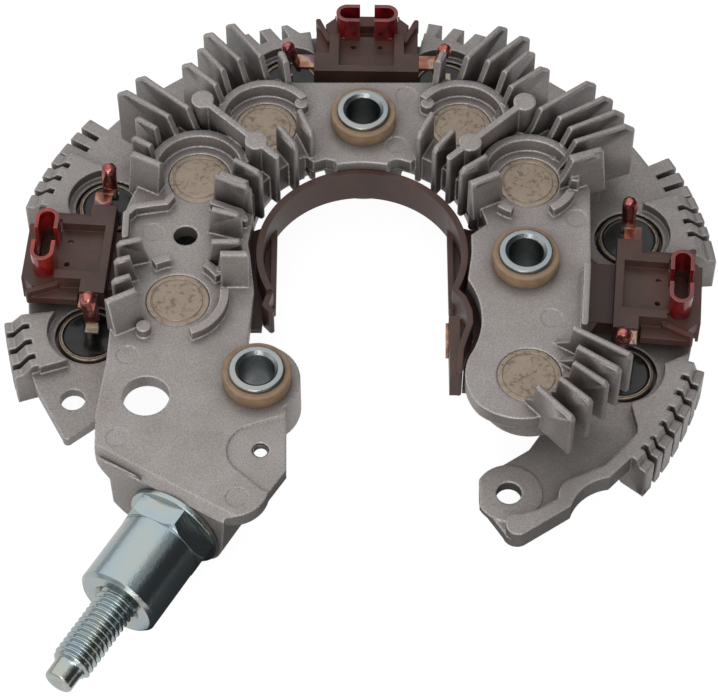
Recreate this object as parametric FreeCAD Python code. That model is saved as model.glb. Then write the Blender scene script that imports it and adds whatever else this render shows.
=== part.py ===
import FreeCAD, Part
import math
import os
from FreeCAD import Vector

# Alternator rectifier. Millimetres, +Z up.
# The origin is on the rotor axis, level with the feet of the outer teeth.

# Heights of the two plates
TOOTH_FOOT = 0.0
NEG_UNDER = 6.3
NEG_THICK = 2.3
NEG_TOP = NEG_UNDER + NEG_THICK
PAD_RISE = 2.3
PAD_TOP = NEG_TOP + PAD_RISE
POS_TOP = 22.0
POS_WEB = 3.3
POS_BOSS = 7.0
POS_UNDER = POS_TOP - POS_WEB
FIN_RISE = 7.5
FIN_TOP = POS_TOP + FIN_RISE

# Press-fit diodes
DIODE_R = 6.4
DIODE_LENGTH = 6.8
DIODE_WALL = 0.8
DIODE_BASE = 1.6
CHIP_SIDE = 5.0
CHIP_THICK = 0.4
PIN_R = 0.8
POS_DIODES = [(-36.6, -13.8), (-33.3, 17.3), (-19.9, 30.9), (20.5, 30.9), (33.9, 16.2), (32.5, -31.9)]

# Sleeves and insulating bushes
BUSHES = [(0.3, 32.5), (32.7, -4.3), (-20.4, -33.0)]
SLEEVE_BORE_R = 3.5
SLEEVE_R = 4.6
SLEEVE_RIM_R = 5.5
SLEEVE_RIM = 0.8
BUSH_R = 6.75
BUSH_RISE = 3.2
BUSH_SHANK_R = 6.0
FREE_PLAY = 0.1
FOOT_BOSS_R = 8.4
FOOT_BOSS_LOW = 12.3

# Positive plate
BOSS_R = 9.7
COLLAR_RISE = 3.0
COLLAR_INNER_R = 8.7
COLLAR_WIDTH = 1.6
COLLAR_SLOPE = 0.3
RIB_RISE = 2.2
FIN_THICK = 1.3
FIN_LOW = 13.5
FIN_LOW_RIGHT = 17.6
INNER_FIN_LOW = 15.0
RIM_INNER_R = 25.8
RIM_OUTER_R = 28.5
FIN_ROOT = 4.2
FIN_SLOPE = 2.0
FIN_CORNER = 2.2
FIN_CORNER_RIGHT = 0.8
FIN_ROUND = 0.5
PILLAR_R = 2.3
PILLAR_SPOTS = [(45.9, 30.2, 135.6), (45.9, 30.2, 43.3)]
MARK_R = 2.2
MARK_DEPTH = 0.12
BIG_HOLE = (-41.9, -36.8)
BIG_HOLE_R = 4.6
SMALL_HOLE = (-35.6, 2.4)
SMALL_HOLE_R = 2.45
TAP_HOLE = (-19.5, -49.1)
TAP_R = 1.65
TAP_PAD_DEPTH = 0.4
TAP_WALL = 1.9

# B+ end and its stud
STUD_AZIMUTH = -120.7
STUD_HEIGHT = 11.7
STUD_SIDE = 0.4
END_R = 10.3
END_LEFT = [(-18.2, POS_TOP), (-16.9, 17.5), (-15.0, 15.4), (-14.8, 7.5), (-12.6, 5.6)]
END_RIGHT = 11.0
END_BEVEL = 2.0
END_START = 56.0
END_FACE = 69.2
STUD_R = 4.0
SHANK_R = 3.8
STUD_HEAD_R = 6.2
STUD_HEAD = 3.0
WASHER_R = 9.6
WASHER_THICK = 1.3
NUT_HEX = 4.4
NUT_ACROSS = 16.6
NUT_BODY_R = 8.2
NUT_LENGTH = 19.6
THREAD_OUT = 15.7
DOG_R = 2.9
DOG_LENGTH = 4.0
NUT_BORE_PLAY = 0.15

# Negative plate
ARCH_R = 20.6
ARCH_CENTRE_Y = 12.3
ARCH_HALF_WIDTH = 22.85
NEG_OUTER_R = 68.2
LOBE_R = 8.2
TOOTH_OUT = 5.1
TOOTH_OUT_RIGHT = 3.8
TOOTH_TIP_R = NEG_OUTER_R + TOOTH_OUT
TOOTH_TIP_R_RIGHT = NEG_OUTER_R + TOOTH_OUT_RIGHT
TOOTH_ROOT_R = NEG_OUTER_R - 6.2
NEG_DIODE_REACH = NEG_OUTER_R - 11.7
SLOT_WIDTH = 1.35
TOP_TOOTH_OUT = 3.2
TOP_TIP_R = NEG_OUTER_R + TOP_TOOTH_OUT
TOP_SLOT_ROOT_R = NEG_OUTER_R - 0.8
TOP_SLOT_FLOOR = 1.9
TOP_SLOT_MOUTH = 2.7
TOP_SLOT_LEAN = 16.0
WELL_R = 7.1
RECESS_R = 8.5
CUP_BOSS_R = 8.9
CUP_BOSS_LOW = 1.2
LUG_HOLE_R = 2.5
LUG_RIGHT = (28.5, -50.7)
LUG_LEFT = (-57.6, -28.5)
LUG_PAD_R = 6.5
LUG_PAD_RISE = 0.3

# Terminal block
BLOCK_ANGLES = [176.0, 89.0, -5.5]
BLOCK_TOP = 16.2
BLOCK_FLOOR = 13.9
BLOCK_LEDGE = 14.0
BLOCK_HALF = 11.2
BLOCK_FACE = 51.3
BLOCK_INNER = 45.0
APRON_FACE = NEG_OUTER_R + 0.7
SHELF_TOP = 11.9
SHELF_HALF = 7.0
RING_R = 21.4
RING_WALL = 1.4
RING_LOW = 12.0
RING_TOP = 19.8
LIP_TOP = 14.5
WEB_LOW = 9.6
WEB_TOP = 13.4
EYE_R = 8.6

# Phase terminals
STRIP_LOW = 10.9
STRIP_THICK = 0.8
STRIP_WIDTH = 3.0
STRIP_SIDE = 5.5
CLIP_LENGTH = 5.1
CLIP_DEPTH = 4.8
CLIP_WALL = 0.8
CLIP_HEIGHT = 6.0
CLIP_WELL = 2.3
CLIP_GAP = 3.1
CLIP_REACH = 62.1
TAB_BASE_SIDE = 14.8
TAB_TOP_SIDE = 17.0
TAB_REACH = 53.3
ARM_LOW = 15.0
ARM_NEAR = 52.6
ARM_FAR = 56.2
LEAD_SIDE = 16.2
LEAD_THICK = 0.7
TAB_WIDTH = 2.7
TAB_THICK = 0.8
TAB_BALL_R = 1.4
TAB_TOP = 22.4


def polar(radius, angle):
    """Point at a radius and an angle about the rotor axis."""
    turn = math.radians(angle)
    return Vector(radius * math.cos(turn), radius * math.sin(turn), 0)


def flat(point, z=0.0):
    """Plan point lifted to height z."""
    return Vector(point[0], point[1], z)


def outline_face(start, steps, z):
    """Flat face from a start point and steps: a point is a line, a pair is an arc."""
    edges = []
    here = flat(start, z)
    for step in steps + [start]:
        if isinstance(step[0], tuple):
            end = flat(step[1], z)
            edges.append(Part.Arc(here, flat(step[0], z), end).toShape())
        else:
            end = flat(step, z)
            if here.distanceToPoint(end) < 1e-6:
                continue
            edges.append(Part.LineSegment(here, end).toShape())
        here = end
    return Part.Face(Part.Wire(edges))


def slab(start, steps, low, high):
    """Outline carried from one height to another."""
    return outline_face(start, steps, low).extrude(Vector(0, 0, high - low))


def box(x0, x1, y0, y1, z0, z1):
    """Box between two corners."""
    return Part.makeBox(x1 - x0, y1 - y0, z1 - z0, Vector(x0, y0, z0))


def post(spot, radius, low, high):
    """Upright round post."""
    return Part.makeCylinder(radius, high - low, flat(spot, low))


def tube(spot, outer, inner, low, high):
    """Upright tube."""
    return post(spot, outer, low, high).cut(post(spot, inner, low - 1, high + 1))


def sector(inner, outer, start, end, low, high):
    """Part of a flat ring about the rotor axis."""
    whole = Part.makeCylinder(outer, high - low, Vector(0, 0, low), Vector(0, 0, 1), end - start)
    whole.rotate(Vector(0, 0, 0), Vector(0, 0, 1), start)
    return whole.cut(Part.makeCylinder(inner, high - low + 2, Vector(0, 0, low - 1)))


def turned(shape, angle):
    """Copy turned about the rotor axis."""
    copy = shape.copy()
    copy.rotate(Vector(0, 0, 0), Vector(0, 0, 1), angle)
    return copy


def joined(shapes):
    """One clean solid from several."""
    return shapes[0].multiFuse(shapes[1:]).removeSplitter()


def wall(points, width, low, high):
    """Upright wall along a run of points, with round ends."""
    pieces = []
    for first, last in zip(points, points[1:]):
        a, b = flat(first, low), flat(last, low)
        run = b.sub(a)
        side = Vector(-run.y, run.x, 0).normalize().multiply(width / 2)
        corners = [a.add(side), b.add(side), b.sub(side), a.sub(side), a.add(side)]
        pieces.append(Part.Face(Part.makePolygon(corners)).extrude(Vector(0, 0, high - low)))
    for point in points:
        pieces.append(post(point, width / 2, low, high))
    return joined(pieces)


def fin(inner, outer, low, corner=FIN_CORNER, slope=FIN_SLOPE, root=FIN_ROOT):
    """Cast fin standing between two plan points, outer top corner cut back and edges rounded."""
    run = outer.sub(inner)
    length = run.Length
    half = FIN_THICK / 2
    profile = [(-root, POS_UNDER), (0, low), (length, low), (length, FIN_TOP - corner)]
    profile += [(length - corner, FIN_TOP), (0, FIN_TOP)]
    profile += [(-slope, POS_TOP + COLLAR_RISE - 0.2), (-root, POS_TOP - 0.3)]
    points = [Vector(s, -half, z) for s, z in profile]
    body = Part.Face(Part.makePolygon(points + [points[0]])).extrude(Vector(0, FIN_THICK, 0))
    rounded = []
    for edge in body.Edges:
        xs = sorted(v.X for v in edge.Vertexes)
        zs = sorted(v.Z for v in edge.Vertexes)
        crest = zs[0] > POS_TOP and xs[-1] > 0
        outer = xs[0] > length - 0.01 and zs[0] < low + 0.01 < zs[-1]
        if crest or outer:
            rounded.append(edge)
    body = body.makeFillet(FIN_ROUND, rounded)
    body.rotate(Vector(0, 0, 0), Vector(0, 0, 1), math.degrees(math.atan2(run.y, run.x)))
    body.translate(inner)
    return body


def flank(top_a, top_b, spread, thick=1.4):
    """End fin with one sloping side that runs down to the plate."""
    low = POS_UNDER + 1.0
    run = Vector(top_b[0] - top_a[0], top_b[1] - top_a[1], 0)
    front = Vector(run.y, -run.x, 0).normalize()
    if front.y > 0:
        front = front.multiply(-1)
    profile = [(0, FIN_TOP), (-thick, FIN_TOP), (-thick, low), (spread, low)]
    points = [flat(top_a, z).add(Vector(front).multiply(step)) for step, z in profile]
    body = Part.Face(Part.makePolygon(points + [points[0]])).extrude(run)
    top_edges = [e for e in body.Edges if min(v.Z for v in e.Vertexes) > FIN_TOP - 0.1]
    return body.makeFillet(FIN_ROUND, top_edges)


def stud_frame(shape):
    """Shape drawn along +X from the axis, set on the stud line."""
    shape.rotate(Vector(0, 0, 0), Vector(0, 0, 1), STUD_AZIMUTH)
    side = polar(STUD_SIDE, STUD_AZIMUTH + 90)
    shape.translate(Vector(-side.x, -side.y, STUD_HEIGHT))
    return shape


def rod(radius, start, end):
    """Round bar along +X."""
    return Part.makeCylinder(radius, end - start, Vector(start, 0, 0), Vector(1, 0, 0))


def save(name, shape):
    """Write one named piece."""
    shape.exportStep("parts/" + name + ".step")
    print(name, len(shape.Solids), round(shape.Volume, 1), shape.isValid())


# Positive heat sink
def positive_web():
    """Flat plate, seen from above."""
    left_notch = [(-5.7, 21.9), (-7.4, 22.4), (-10.0, 21.5)]
    start = (-48.2, 1.8)
    curve = polar(47.5, 140)
    curve_end = polar(47.5, 112)
    other = polar(47.5, 68)
    other_mid = polar(47.5, 42)
    in_right = polar(25.8, 12)
    in_right_mid = polar(25.8, 36)
    in_right_end = polar(25.8, 63)
    in_left = polar(25.8, 117)
    in_left_mid = polar(25.8, 140)
    in_left_end = polar(25.8, 160)
    steps = [
        (-47.9, 9.0),
        ((curve.x, curve.y), (curve_end.x, curve_end.y)),
        (-14.5, 43.0),
        (15.8, 43.0),
        (other.x, other.y),
        ((other_mid.x, other_mid.y), (46.5, 14.2)),
        (45.7, -5.2),
        (44.5, -19.2),
        (42.0, -26.0),
        ((41.9, -35.0), (35.4, -41.3)),
        ((28.0, -41.8), (22.6, -39.0)),
        ((20.4, -34.8), (21.0, -27.3)),
        ((23.6, -18.0), (21.1, -8.6)),
        (22.0, -1.7),
        (22.0, 2.6),
        (in_right.x, in_right.y),
        ((in_right_mid.x, in_right_mid.y), (in_right_end.x, in_right_end.y)),
        (10.0, 21.5),
        (7.4, 22.4),
        (5.7, 21.9),
        (5.2, 20.9),
        ((0.0, RING_R + FREE_PLAY), (-5.2, 20.9)),
    ]
    steps += left_notch
    steps += [
        (in_left.x, in_left.y),
        ((in_left_mid.x, in_left_mid.y), (in_left_end.x, in_left_end.y)),
        (-22.0, 7.5),
        (-23.0, 0.5),
        (-22.5, -2.4),
        (-21.5, -11.6),
        (-22.5, -24.0),
        (-14.7, -40.2),
        (-14.5, -53.6),
        (-17.8, -58.8),
        ((-20.6, -63.0), (-25.6, -64.2)),
        (-48.0, -52.5),
        ((-50.6, -50.6), (-51.2, -48.0)),
        (-51.4, -40.6),
        (-50.0, -28.9),
        (-49.1, -8.6),
    ]
    return slab(start, steps, POS_UNDER, POS_TOP)


def collar(spot, start, end):
    """Raised part ring about a diode, its inner side sloping a little."""
    outer = COLLAR_INNER_R + COLLAR_WIDTH
    inner = COLLAR_INNER_R - COLLAR_SLOPE
    profile = [(inner, POS_TOP - 0.5), (outer, POS_TOP - 0.5), (outer, POS_TOP + COLLAR_RISE)]
    profile += [(COLLAR_INNER_R, POS_TOP + COLLAR_RISE), (inner, POS_TOP)]
    points = [Vector(r, 0, z) for r, z in profile]
    face = Part.Face(Part.makePolygon(points + [points[0]]))
    ring = face.revolve(Vector(0, 0, 0), Vector(0, 0, 1), end - start)
    ring.rotate(Vector(0, 0, 0), Vector(0, 0, 1), start)
    ring.translate(flat(spot))
    return ring


def lip(spot, start, end, inner=8.5, width=1.7):
    """Low curved wall about a diode."""
    ring = sector(inner, inner + width, start, end, POS_TOP - 0.5, POS_TOP + RIB_RISE)
    ring.translate(flat(spot))
    return ring


def outer_fins():
    """Fins on the outer edge, seen in plan as inner and outer end (radius, angle)."""
    spread = [
        ((48.4, 145.0), (61.8, 144.8)), ((46.6, 140.0), (61.4, 139.8)), ((47.1, 129.8), (57.3, 130.7)),
        ((49.4, 125.7), (58.8, 125.6)), ((50.1, 120.6), (61.6, 122.5)), ((48.9, 115.5), (61.5, 117.5)),
        ((48.8, 63.4), (61.7, 60.5)), ((49.9, 58.4), (61.7, 55.4)), ((49.4, 53.3), (59.0, 52.4)),
        ((47.0, 49.2), (57.4, 47.3)), ((47.0, 39.0), (61.6, 38.2)), ((48.7, 34.0), (61.8, 33.2)),
        ((49.0, 29.9), (61.7, 29.1)), ((48.2, 25.9), (61.6, 25.1)), ((45.4, 20.7), (52.6, 20.9)),
    ]
    fins = [fin(polar(*a), polar(*b), FIN_LOW) for a, b in spread]
    low = [((45.2, 110.5), (49.1, 110.4)), ((45.2, 69.5), (49.1, 69.6))]
    fins += [fin(polar(*a), polar(*b), POS_UNDER, 1.0, 1.5, 4.0) for a, b in low]
    right = [
        ((48.4, -32.1), (61.3, -31.9)), ((51.4, -36.0), (61.2, -35.8)), ((53.0, -39.9), (61.2, -39.8)),
        ((53.4, -44.8), (61.5, -44.7)), ((51.9, -49.8), (61.9, -49.6)),
    ]
    fins += [fin(polar(*a), polar(*b), FIN_LOW_RIGHT, FIN_CORNER_RIGHT, 0.5) for a, b in right]
    return fins


def root_blocks():
    """Hidden feet that carry the outer fins from the plate edge."""
    feet = []
    for start, end in ((114, 145), (26, 64.5)):
        feet.append(sector(44.5, 49.0, start, end, POS_TOP - POS_BOSS, POS_TOP))
    return feet


def inner_rim():
    """Thick rim under the inner edge, between the fins."""
    low = POS_TOP - POS_BOSS
    spans = ((14, 62.5), (117.5, 158.5))
    return [sector(RIM_INNER_R, RIM_OUTER_R, start, end, low, POS_TOP) for start, end in spans]


def inner_fins():
    """Fins on the inner edge."""
    spread = [
        ((32.0, 113.7), (24.9, 114.0)), ((30.3, 124.1), (23.5, 124.4)), ((30.5, 147.7), (23.8, 148.1)),
        ((31.8, 157.8), (24.0, 158.3)), ((32.0, 63.2), (24.9, 62.9)), ((30.3, 52.3), (23.5, 52.0)),
        ((30.5, 34.4), (23.8, 33.9)), ((30.5, 24.7), (23.9, 24.2)),
    ]
    return [fin(polar(*a), polar(*b), INNER_FIN_LOW, 1.0, 0.4, 0.8) for a, b in spread]


def small_fins():
    """Short fins beside the left-hand diodes."""
    spots = [
        ((-42.0, 24.5), (-46.4, 27.7)), ((-42.9, 19.9), (-46.8, 22.5)),
        ((-43.8, -3.9), (-48.7, -5.2)), ((-45.8, -8.5), (-49.0, -9.5)), ((-45.6, -13.1), (-49.2, -14.5)),
        ((-29.9, 3.6), (-24.0, 1.9)), ((-29.8, -4.6), (-23.6, -4.4)), ((-28.0, -7.6), (-22.4, -7.6)),
    ]
    return [fin(flat(a), flat(b), POS_UNDER, 0.8, 0.6, 1.2) for a, b in spots]


def end_flanks():
    """Fins that close each group, with a sloping front."""
    rows = [
        ((-46.9, 17.4), (-40.9, 14.3), 2.0), ((-29.0, 12.2), (-23.4, 9.6), 1.0),
        ((-49.7, -20.1), (-43.9, -17.1), 3.5), ((-28.0, -8.3), (-22.4, -8.3), 3.0),
        ((42.2, 16.1), (49.0, 18.5), 2.5), ((27.9, 12.4), (22.0, 9.5), 1.5),
    ]
    return [flank(*row) for row in rows]


def pillars():
    """Round ejector pillars joined by a thin web on each side."""
    shapes = []
    for far, near, angle in PILLAR_SPOTS:
        a, b = polar(far, angle), polar(near, angle)
        shapes.append(post((a.x, a.y), PILLAR_R, FIN_LOW, FIN_TOP))
        shapes.append(post((b.x, b.y), PILLAR_R, INNER_FIN_LOW, FIN_TOP))
        inner = polar(24.4, angle)
        shapes.append(wall([(a.x, a.y), (inner.x, inner.y)], FIN_THICK, INNER_FIN_LOW, FIN_TOP))
    return shapes


def plate_ribs():
    """Low walls on the flat of the plate."""
    high = POS_TOP + RIB_RISE
    low = POS_TOP - 0.5
    shapes = [
        wall([(-47.6, 1.0), (-47.6, 6.4), (-46.0, 8.3), (-39.6, 9.4), (-38.6, 11.0)], 1.3, low, high),
        wall([(-30.2, 9.4), (-24.6, 7.0), (-23.6, 5.0)], 1.3, low, high),
        wall([(44.9, -6.4), (43.7, -20.6)], 1.3, low, high),
        lip(POS_DIODES[0], -72, 8),
        lip(POS_DIODES[0], 100, 122),
        lip(POS_DIODES[0], 30, 55),
        lip(POS_DIODES[4], -62, -25),
        lip(POS_DIODES[4], -130, -112),
        post((-42.9, -21.6), 1.4, low, high),
        post((-12.6, 35.6), 1.4, low, high),
        post((13.6, 35.6), 1.4, low, high),
    ]
    for spot, start, end in zip(POS_DIODES[1:5], (10, 35, -15, -12), (190, 195, 145, 170)):
        shapes.append(collar(spot, start, end))
    return shapes


def tangent_point(corner, radius):
    """Lower point where a line from the corner touches the round end, in (side, height)."""
    y, z = corner
    far = math.hypot(y, z)
    spread = math.acos(radius / far)
    toward = math.atan2(z, y)
    turn = toward + spread if y < 0 else toward - spread
    return (radius * math.cos(turn), radius * math.sin(turn))


def stud_end():
    """Thick round end that holds the B+ stud, blended into the plate."""
    top = POS_TOP - STUD_HEIGHT
    left = [(side, z - STUD_HEIGHT) for side, z in END_LEFT]
    right = (END_RIGHT, top - POS_WEB)
    profile = left + [tangent_point(left[-1], END_R), (0, 0), tangent_point(right, END_R)]
    profile += [right, (END_RIGHT, top)]
    points = [Vector(END_START, y, z) for y, z in profile]
    wedge = Part.Face(Part.makePolygon(points + [points[0]])).extrude(Vector(END_FACE - END_START, 0, 0))
    core = rod(END_R, END_START, END_FACE)
    return stud_frame(wedge.fuse(core))


def stud_end_bevel():
    """Cutter that slopes the top front edge of the B+ end."""
    high = POS_TOP - STUD_HEIGHT + 0.1
    corners = [(END_FACE - END_BEVEL, high), (END_FACE + 0.1, high), (END_FACE + 0.1, high - 0.8 * END_BEVEL)]
    points = [Vector(s, 2 * END_LEFT[0][0], z) for s, z in corners]
    face = Part.Face(Part.makePolygon(points + [points[0]]))
    return stud_frame(face.extrude(Vector(0, 4 * -END_LEFT[0][0], 0)))


def positive_heat_sink():
    """Upper cast plate with fins, collars, foot boss and B+ end."""
    shapes = [positive_web(), stud_end()]
    shapes += [post(spot, BOSS_R, POS_TOP - POS_BOSS, POS_TOP) for spot in POS_DIODES]
    shapes.append(post(BUSHES[2], FOOT_BOSS_R, FOOT_BOSS_LOW, POS_TOP))
    shapes += root_blocks() + inner_rim() + outer_fins() + inner_fins() + small_fins() + end_flanks()
    shapes += pillars() + plate_ribs()
    body = joined(shapes)
    tools = [post(spot, DIODE_R, 0, FIN_TOP + 1) for spot in POS_DIODES]
    tools += [post(spot, BUSH_SHANK_R + FREE_PLAY, 0, FIN_TOP + 1) for spot in BUSHES]
    tools += [post(BIG_HOLE, BIG_HOLE_R, 0, FIN_TOP), post(BIG_HOLE, BIG_HOLE_R + 1.0, 0, POS_UNDER)]
    tools.append(post(SMALL_HOLE, SMALL_HOLE_R, 0, FIN_TOP))
    tools.append(post(TAP_HOLE, TAP_R, 0, FIN_TOP))
    tools.append(post(TAP_HOLE, TAP_R + 1.2, 0, POS_TOP - TAP_PAD_DEPTH - TAP_WALL))
    pad = [(-22.6, -43.9), ((-26.0, -49.1), (-24.0, -53.6)), (-18.6, -58.6), (-10.0, -58.6)]
    tools.append(slab((-10.0, -39.5), pad, POS_TOP - TAP_PAD_DEPTH, POS_TOP + 1))
    tools.append(stud_frame(rod(SHANK_R, 0, END_FACE + 1)))
    tools.append(stud_end_bevel())
    marks = [(-42.2, 3.3), (-46.0, -27.1), (9.2, 39.6), (7.0, 26.1), (43.3, 6.9), (37.4, -18.1)]
    marks += [(-47.0, -46.4), (-23.7, -60.0)]
    tools += [post(mark, MARK_R, POS_TOP - MARK_DEPTH, POS_TOP + 0.3) for mark in marks]
    return body.cut(joined_tools(tools)).removeSplitter()


def joined_tools(tools):
    """Cutters gathered in one group."""
    return Part.makeCompound(tools)


# Negative heat sink
def negative_spots():
    """Centres of the lower diodes."""
    spots = []
    for angle in (193, 159, 106, 72, 12, -23):
        centre = polar(NEG_DIODE_REACH, angle)
        spots.append((centre.x, centre.y))
    return spots


def negative_web():
    """Flat horseshoe with its two lugs."""
    body = sector(ARCH_R, NEG_OUTER_R, -24, 200, NEG_UNDER, NEG_TOP)
    turn = ARCH_R * math.sqrt(0.5)
    middle = ARCH_HALF_WIDTH - ARCH_R
    arch = [
        (-ARCH_HALF_WIDTH, ARCH_CENTRE_Y),
        ((-middle - turn, ARCH_CENTRE_Y + turn), (-middle, ARCH_CENTRE_Y + ARCH_R)),
        (middle, ARCH_CENTRE_Y + ARCH_R),
        ((middle + turn, ARCH_CENTRE_Y + turn), (ARCH_HALF_WIDTH, ARCH_CENTRE_Y)),
        (ARCH_HALF_WIDTH, -NEG_OUTER_R),
    ]
    body = body.cut(slab((-ARCH_HALF_WIDTH, -NEG_OUTER_R), arch, 0, POS_TOP))
    right_steps = [
        (62.3, -27.7),
        ((60.2, -33.2), (57.3, -38.0)),
        (53.3, -42.9),
        (48.1, -48.3),
        ((43.6, -50.2), (40.3, -54.9)),
        (31.4, -60.9),
        ((28.9, -61.2), (27.2, -59.4)),
        (23.4, -53.4),
        ((23.0, -48.4), (26.2, -45.0)),
        (32.8, -40.5),
        (37.6, -33.0),
        (36.5, -20.0),
    ]
    right = slab((31.0, -10.0), right_steps, NEG_UNDER, NEG_TOP)
    left_steps = [
        (-66.2, -22.6),
        (-65.0, -26.0),
        (-59.2, -37.0),
        ((-58.4, -37.9), (-57.4, -37.5)),
        (-49.4, -31.0),
        (-49.4, -14.0),
    ]
    left = slab((-60.0, -12.0), left_steps, NEG_UNDER, NEG_TOP)
    lobes = [post(spot, LOBE_R, NEG_UNDER, NEG_TOP) for spot in BUSHES[:2]]
    return [body, right, left] + lobes


def tooth_bank(start, end, tip, slots, raised, inward=0.0):
    """Bank of outer teeth: one turned block with slots cut between the teeth."""
    root = NEG_OUTER_R - inward
    top = PAD_TOP if raised else NEG_TOP
    shoulder = NEG_OUTER_R + 1.4
    low_top = NEG_TOP + 0.1 if raised else NEG_TOP
    profile = [(TOOTH_ROOT_R, NEG_UNDER + 1), (TOOTH_ROOT_R, NEG_UNDER - 1), (TOOTH_ROOT_R + 4.6, TOOTH_FOOT)]
    profile += [(tip, TOOTH_FOOT), (tip, low_top - 0.3), (tip - 0.4, low_top)]
    if raised:
        profile += [(tip - 1.6, low_top), (shoulder, top), (NEG_OUTER_R - 2, top)]
    profile += [(NEG_OUTER_R - 2, NEG_TOP)]
    points = [Vector(r, 0, z) for r, z in profile]
    face = Part.Face(Part.makePolygon(points + [points[0]]))
    bank = face.revolve(Vector(0, 0, 0), Vector(0, 0, 1), end - start)
    bank = turned(bank, start)
    half = SLOT_WIDTH / 2
    for slot in slots:
        cutter = box(root, tip + 2, -half, half, TOOTH_FOOT - 1, PAD_TOP + 1)
        cutter = cutter.fuse(post((root, 0), half, TOOTH_FOOT - 1, PAD_TOP + 1))
        bank = bank.cut(turned(cutter, slot))
    return bank


def top_bank(start, end):
    """Bank beside the top block, its teeth full height to the tip."""
    profile = [(TOOTH_ROOT_R, NEG_UNDER + 1), (TOOTH_ROOT_R, NEG_UNDER - 1), (TOOTH_ROOT_R + 4.6, TOOTH_FOOT)]
    profile += [(TOP_TIP_R, TOOTH_FOOT), (TOP_TIP_R, PAD_TOP - 0.3), (TOP_TIP_R - 0.3, PAD_TOP)]
    profile += [(NEG_OUTER_R - 2, PAD_TOP), (NEG_OUTER_R - 2, NEG_TOP)]
    points = [Vector(r, 0, z) for r, z in profile]
    face = Part.Face(Part.makePolygon(points + [points[0]]))
    bank = face.revolve(Vector(0, 0, 0), Vector(0, 0, 1), end - start)
    return turned(bank, start)


def top_slots():
    """Wide leaning gaps between the teeth of the two top banks."""
    reach = TOP_TIP_R + 1 - TOP_SLOT_ROOT_R
    a, b = TOP_SLOT_FLOOR / 2, TOP_SLOT_MOUTH / 2
    cutters = []
    for side, angles in ((1, (104.4, 108.4)), (-1, (75.6, 71.6, 67.7))):
        for angle in angles:
            cutter = slab((0, -a), [(reach, -b), (reach, b), (0, a)], TOOTH_FOOT - 1, PAD_TOP + 1)
            cutter.rotate(Vector(0, 0, 0), Vector(0, 0, 1), side * TOP_SLOT_LEAN)
            cutter.translate(Vector(TOP_SLOT_ROOT_R, 0, 0))
            cutters.append(turned(cutter, angle))
    near, far = NEG_OUTER_R + 0.1, TOOTH_TIP_R + 0.7
    corner = [(far, -2.0), (far, 3.0), (near, -1.3)]
    cutters.append(turned(slab((near, -2.0), corner, TOOTH_FOOT - 1, PAD_TOP + 1), 102.6))
    cutters.append(sector(NEG_OUTER_R - 2.0, TOOTH_TIP_R, 78.9, 85.0, TOOTH_FOOT - 1, PAD_TOP + 1))
    return cutters


def diode_pads():
    """Raised ground outside each lower diode."""
    shapes = []
    for start, end in ((187.6, 199.0), (151.5, 166.0), (99.5, 112.0), (66.0, 78.5), (4.5, 18.5)):
        shapes.append(sector(NEG_DIODE_REACH + 0.5, NEG_OUTER_R, start, end, NEG_TOP - 1, PAD_TOP))
    rim_steps = [
        (59.0, -22.0),
        (65.4, -18.8),
        ((62.7, -26.6), (57.3, -38.0)),
        (53.3, -42.9),
        (48.1, -48.3),
        ((43.6, -50.2), (40.3, -54.9)),
        (31.4, -60.9),
        ((28.9, -61.2), (27.6, -59.0)),
        ((28.0, -57.3), (30.2, -56.7)),
        (33.5, -55.9),
        (38.0, -53.1),
        ((39.0, -49.8), (41.3, -48.3)),
        (47.3, -45.5),
        (54.0, -38.0),
        (54.2, -36.3),
    ]
    shapes.append(slab((53.3, -31.0), rim_steps, NEG_TOP - 1, PAD_TOP))
    return shapes


def negative_heat_sink():
    """Lower cast plate: teeth, diode pads and lugs."""
    shapes = negative_web() + diode_pads()
    shapes += [
        tooth_bank(142.7, 151.3, TOOTH_TIP_R, (145.5, 148.4), False),
        tooth_bank(151.6, 163.8, TOOTH_TIP_R, (154.4, 157.5, 160.6), True),
        tooth_bank(18.8, 27.4, TOOTH_TIP_R, (24.5, 21.5), False),
        tooth_bank(4.8, 18.4, TOOTH_TIP_R, (15.5, 12.5, 9.6), True),
        top_bank(101.3, 112.0),
        top_bank(66.4, 78.2),
        tooth_bank(187.6, 198.5, TOOTH_TIP_R, (190.1, 193.4, 196.5), True, -0.2),
        tooth_bank(-34.0, -17.6, TOOTH_TIP_R_RIGHT, (-21.0, -24.3, -27.8, -31.1), True, 1.4),
        tooth_bank(-39.6, -34.0, TOOTH_TIP_R_RIGHT, (-34.3, -36.8), True, -0.6),
    ]
    shapes += [post(spot, CUP_BOSS_R, CUP_BOSS_LOW, NEG_TOP) for spot in negative_spots()]
    shapes.append(post(LUG_RIGHT, LUG_PAD_R, NEG_TOP - 1, NEG_TOP + LUG_PAD_RISE))
    body = joined(shapes)
    tools = []
    for spot in negative_spots():
        tools.append(post(spot, DIODE_R, -1, PAD_TOP + 1))
        tools.append(post(spot, WELL_R, NEG_UNDER, PAD_TOP + 1))
        tools.append(post(spot, RECESS_R, NEG_TOP, PAD_TOP + 1))
    tools += [post(spot, SLEEVE_R + FREE_PLAY, -1, PAD_TOP + 1) for spot in BUSHES[:2]]
    tools += [post(spot, LUG_HOLE_R, -1, PAD_TOP + 1) for spot in (LUG_RIGHT, LUG_LEFT)]
    trim = [(22.75, -70.0), (22.75, -40.0), (10.0, -40.0)]
    tools.append(slab((10.0, -70.0), trim, 0, PAD_TOP + 1))
    tools += top_slots()
    return body.cut(joined_tools(tools)).removeSplitter()


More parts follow.
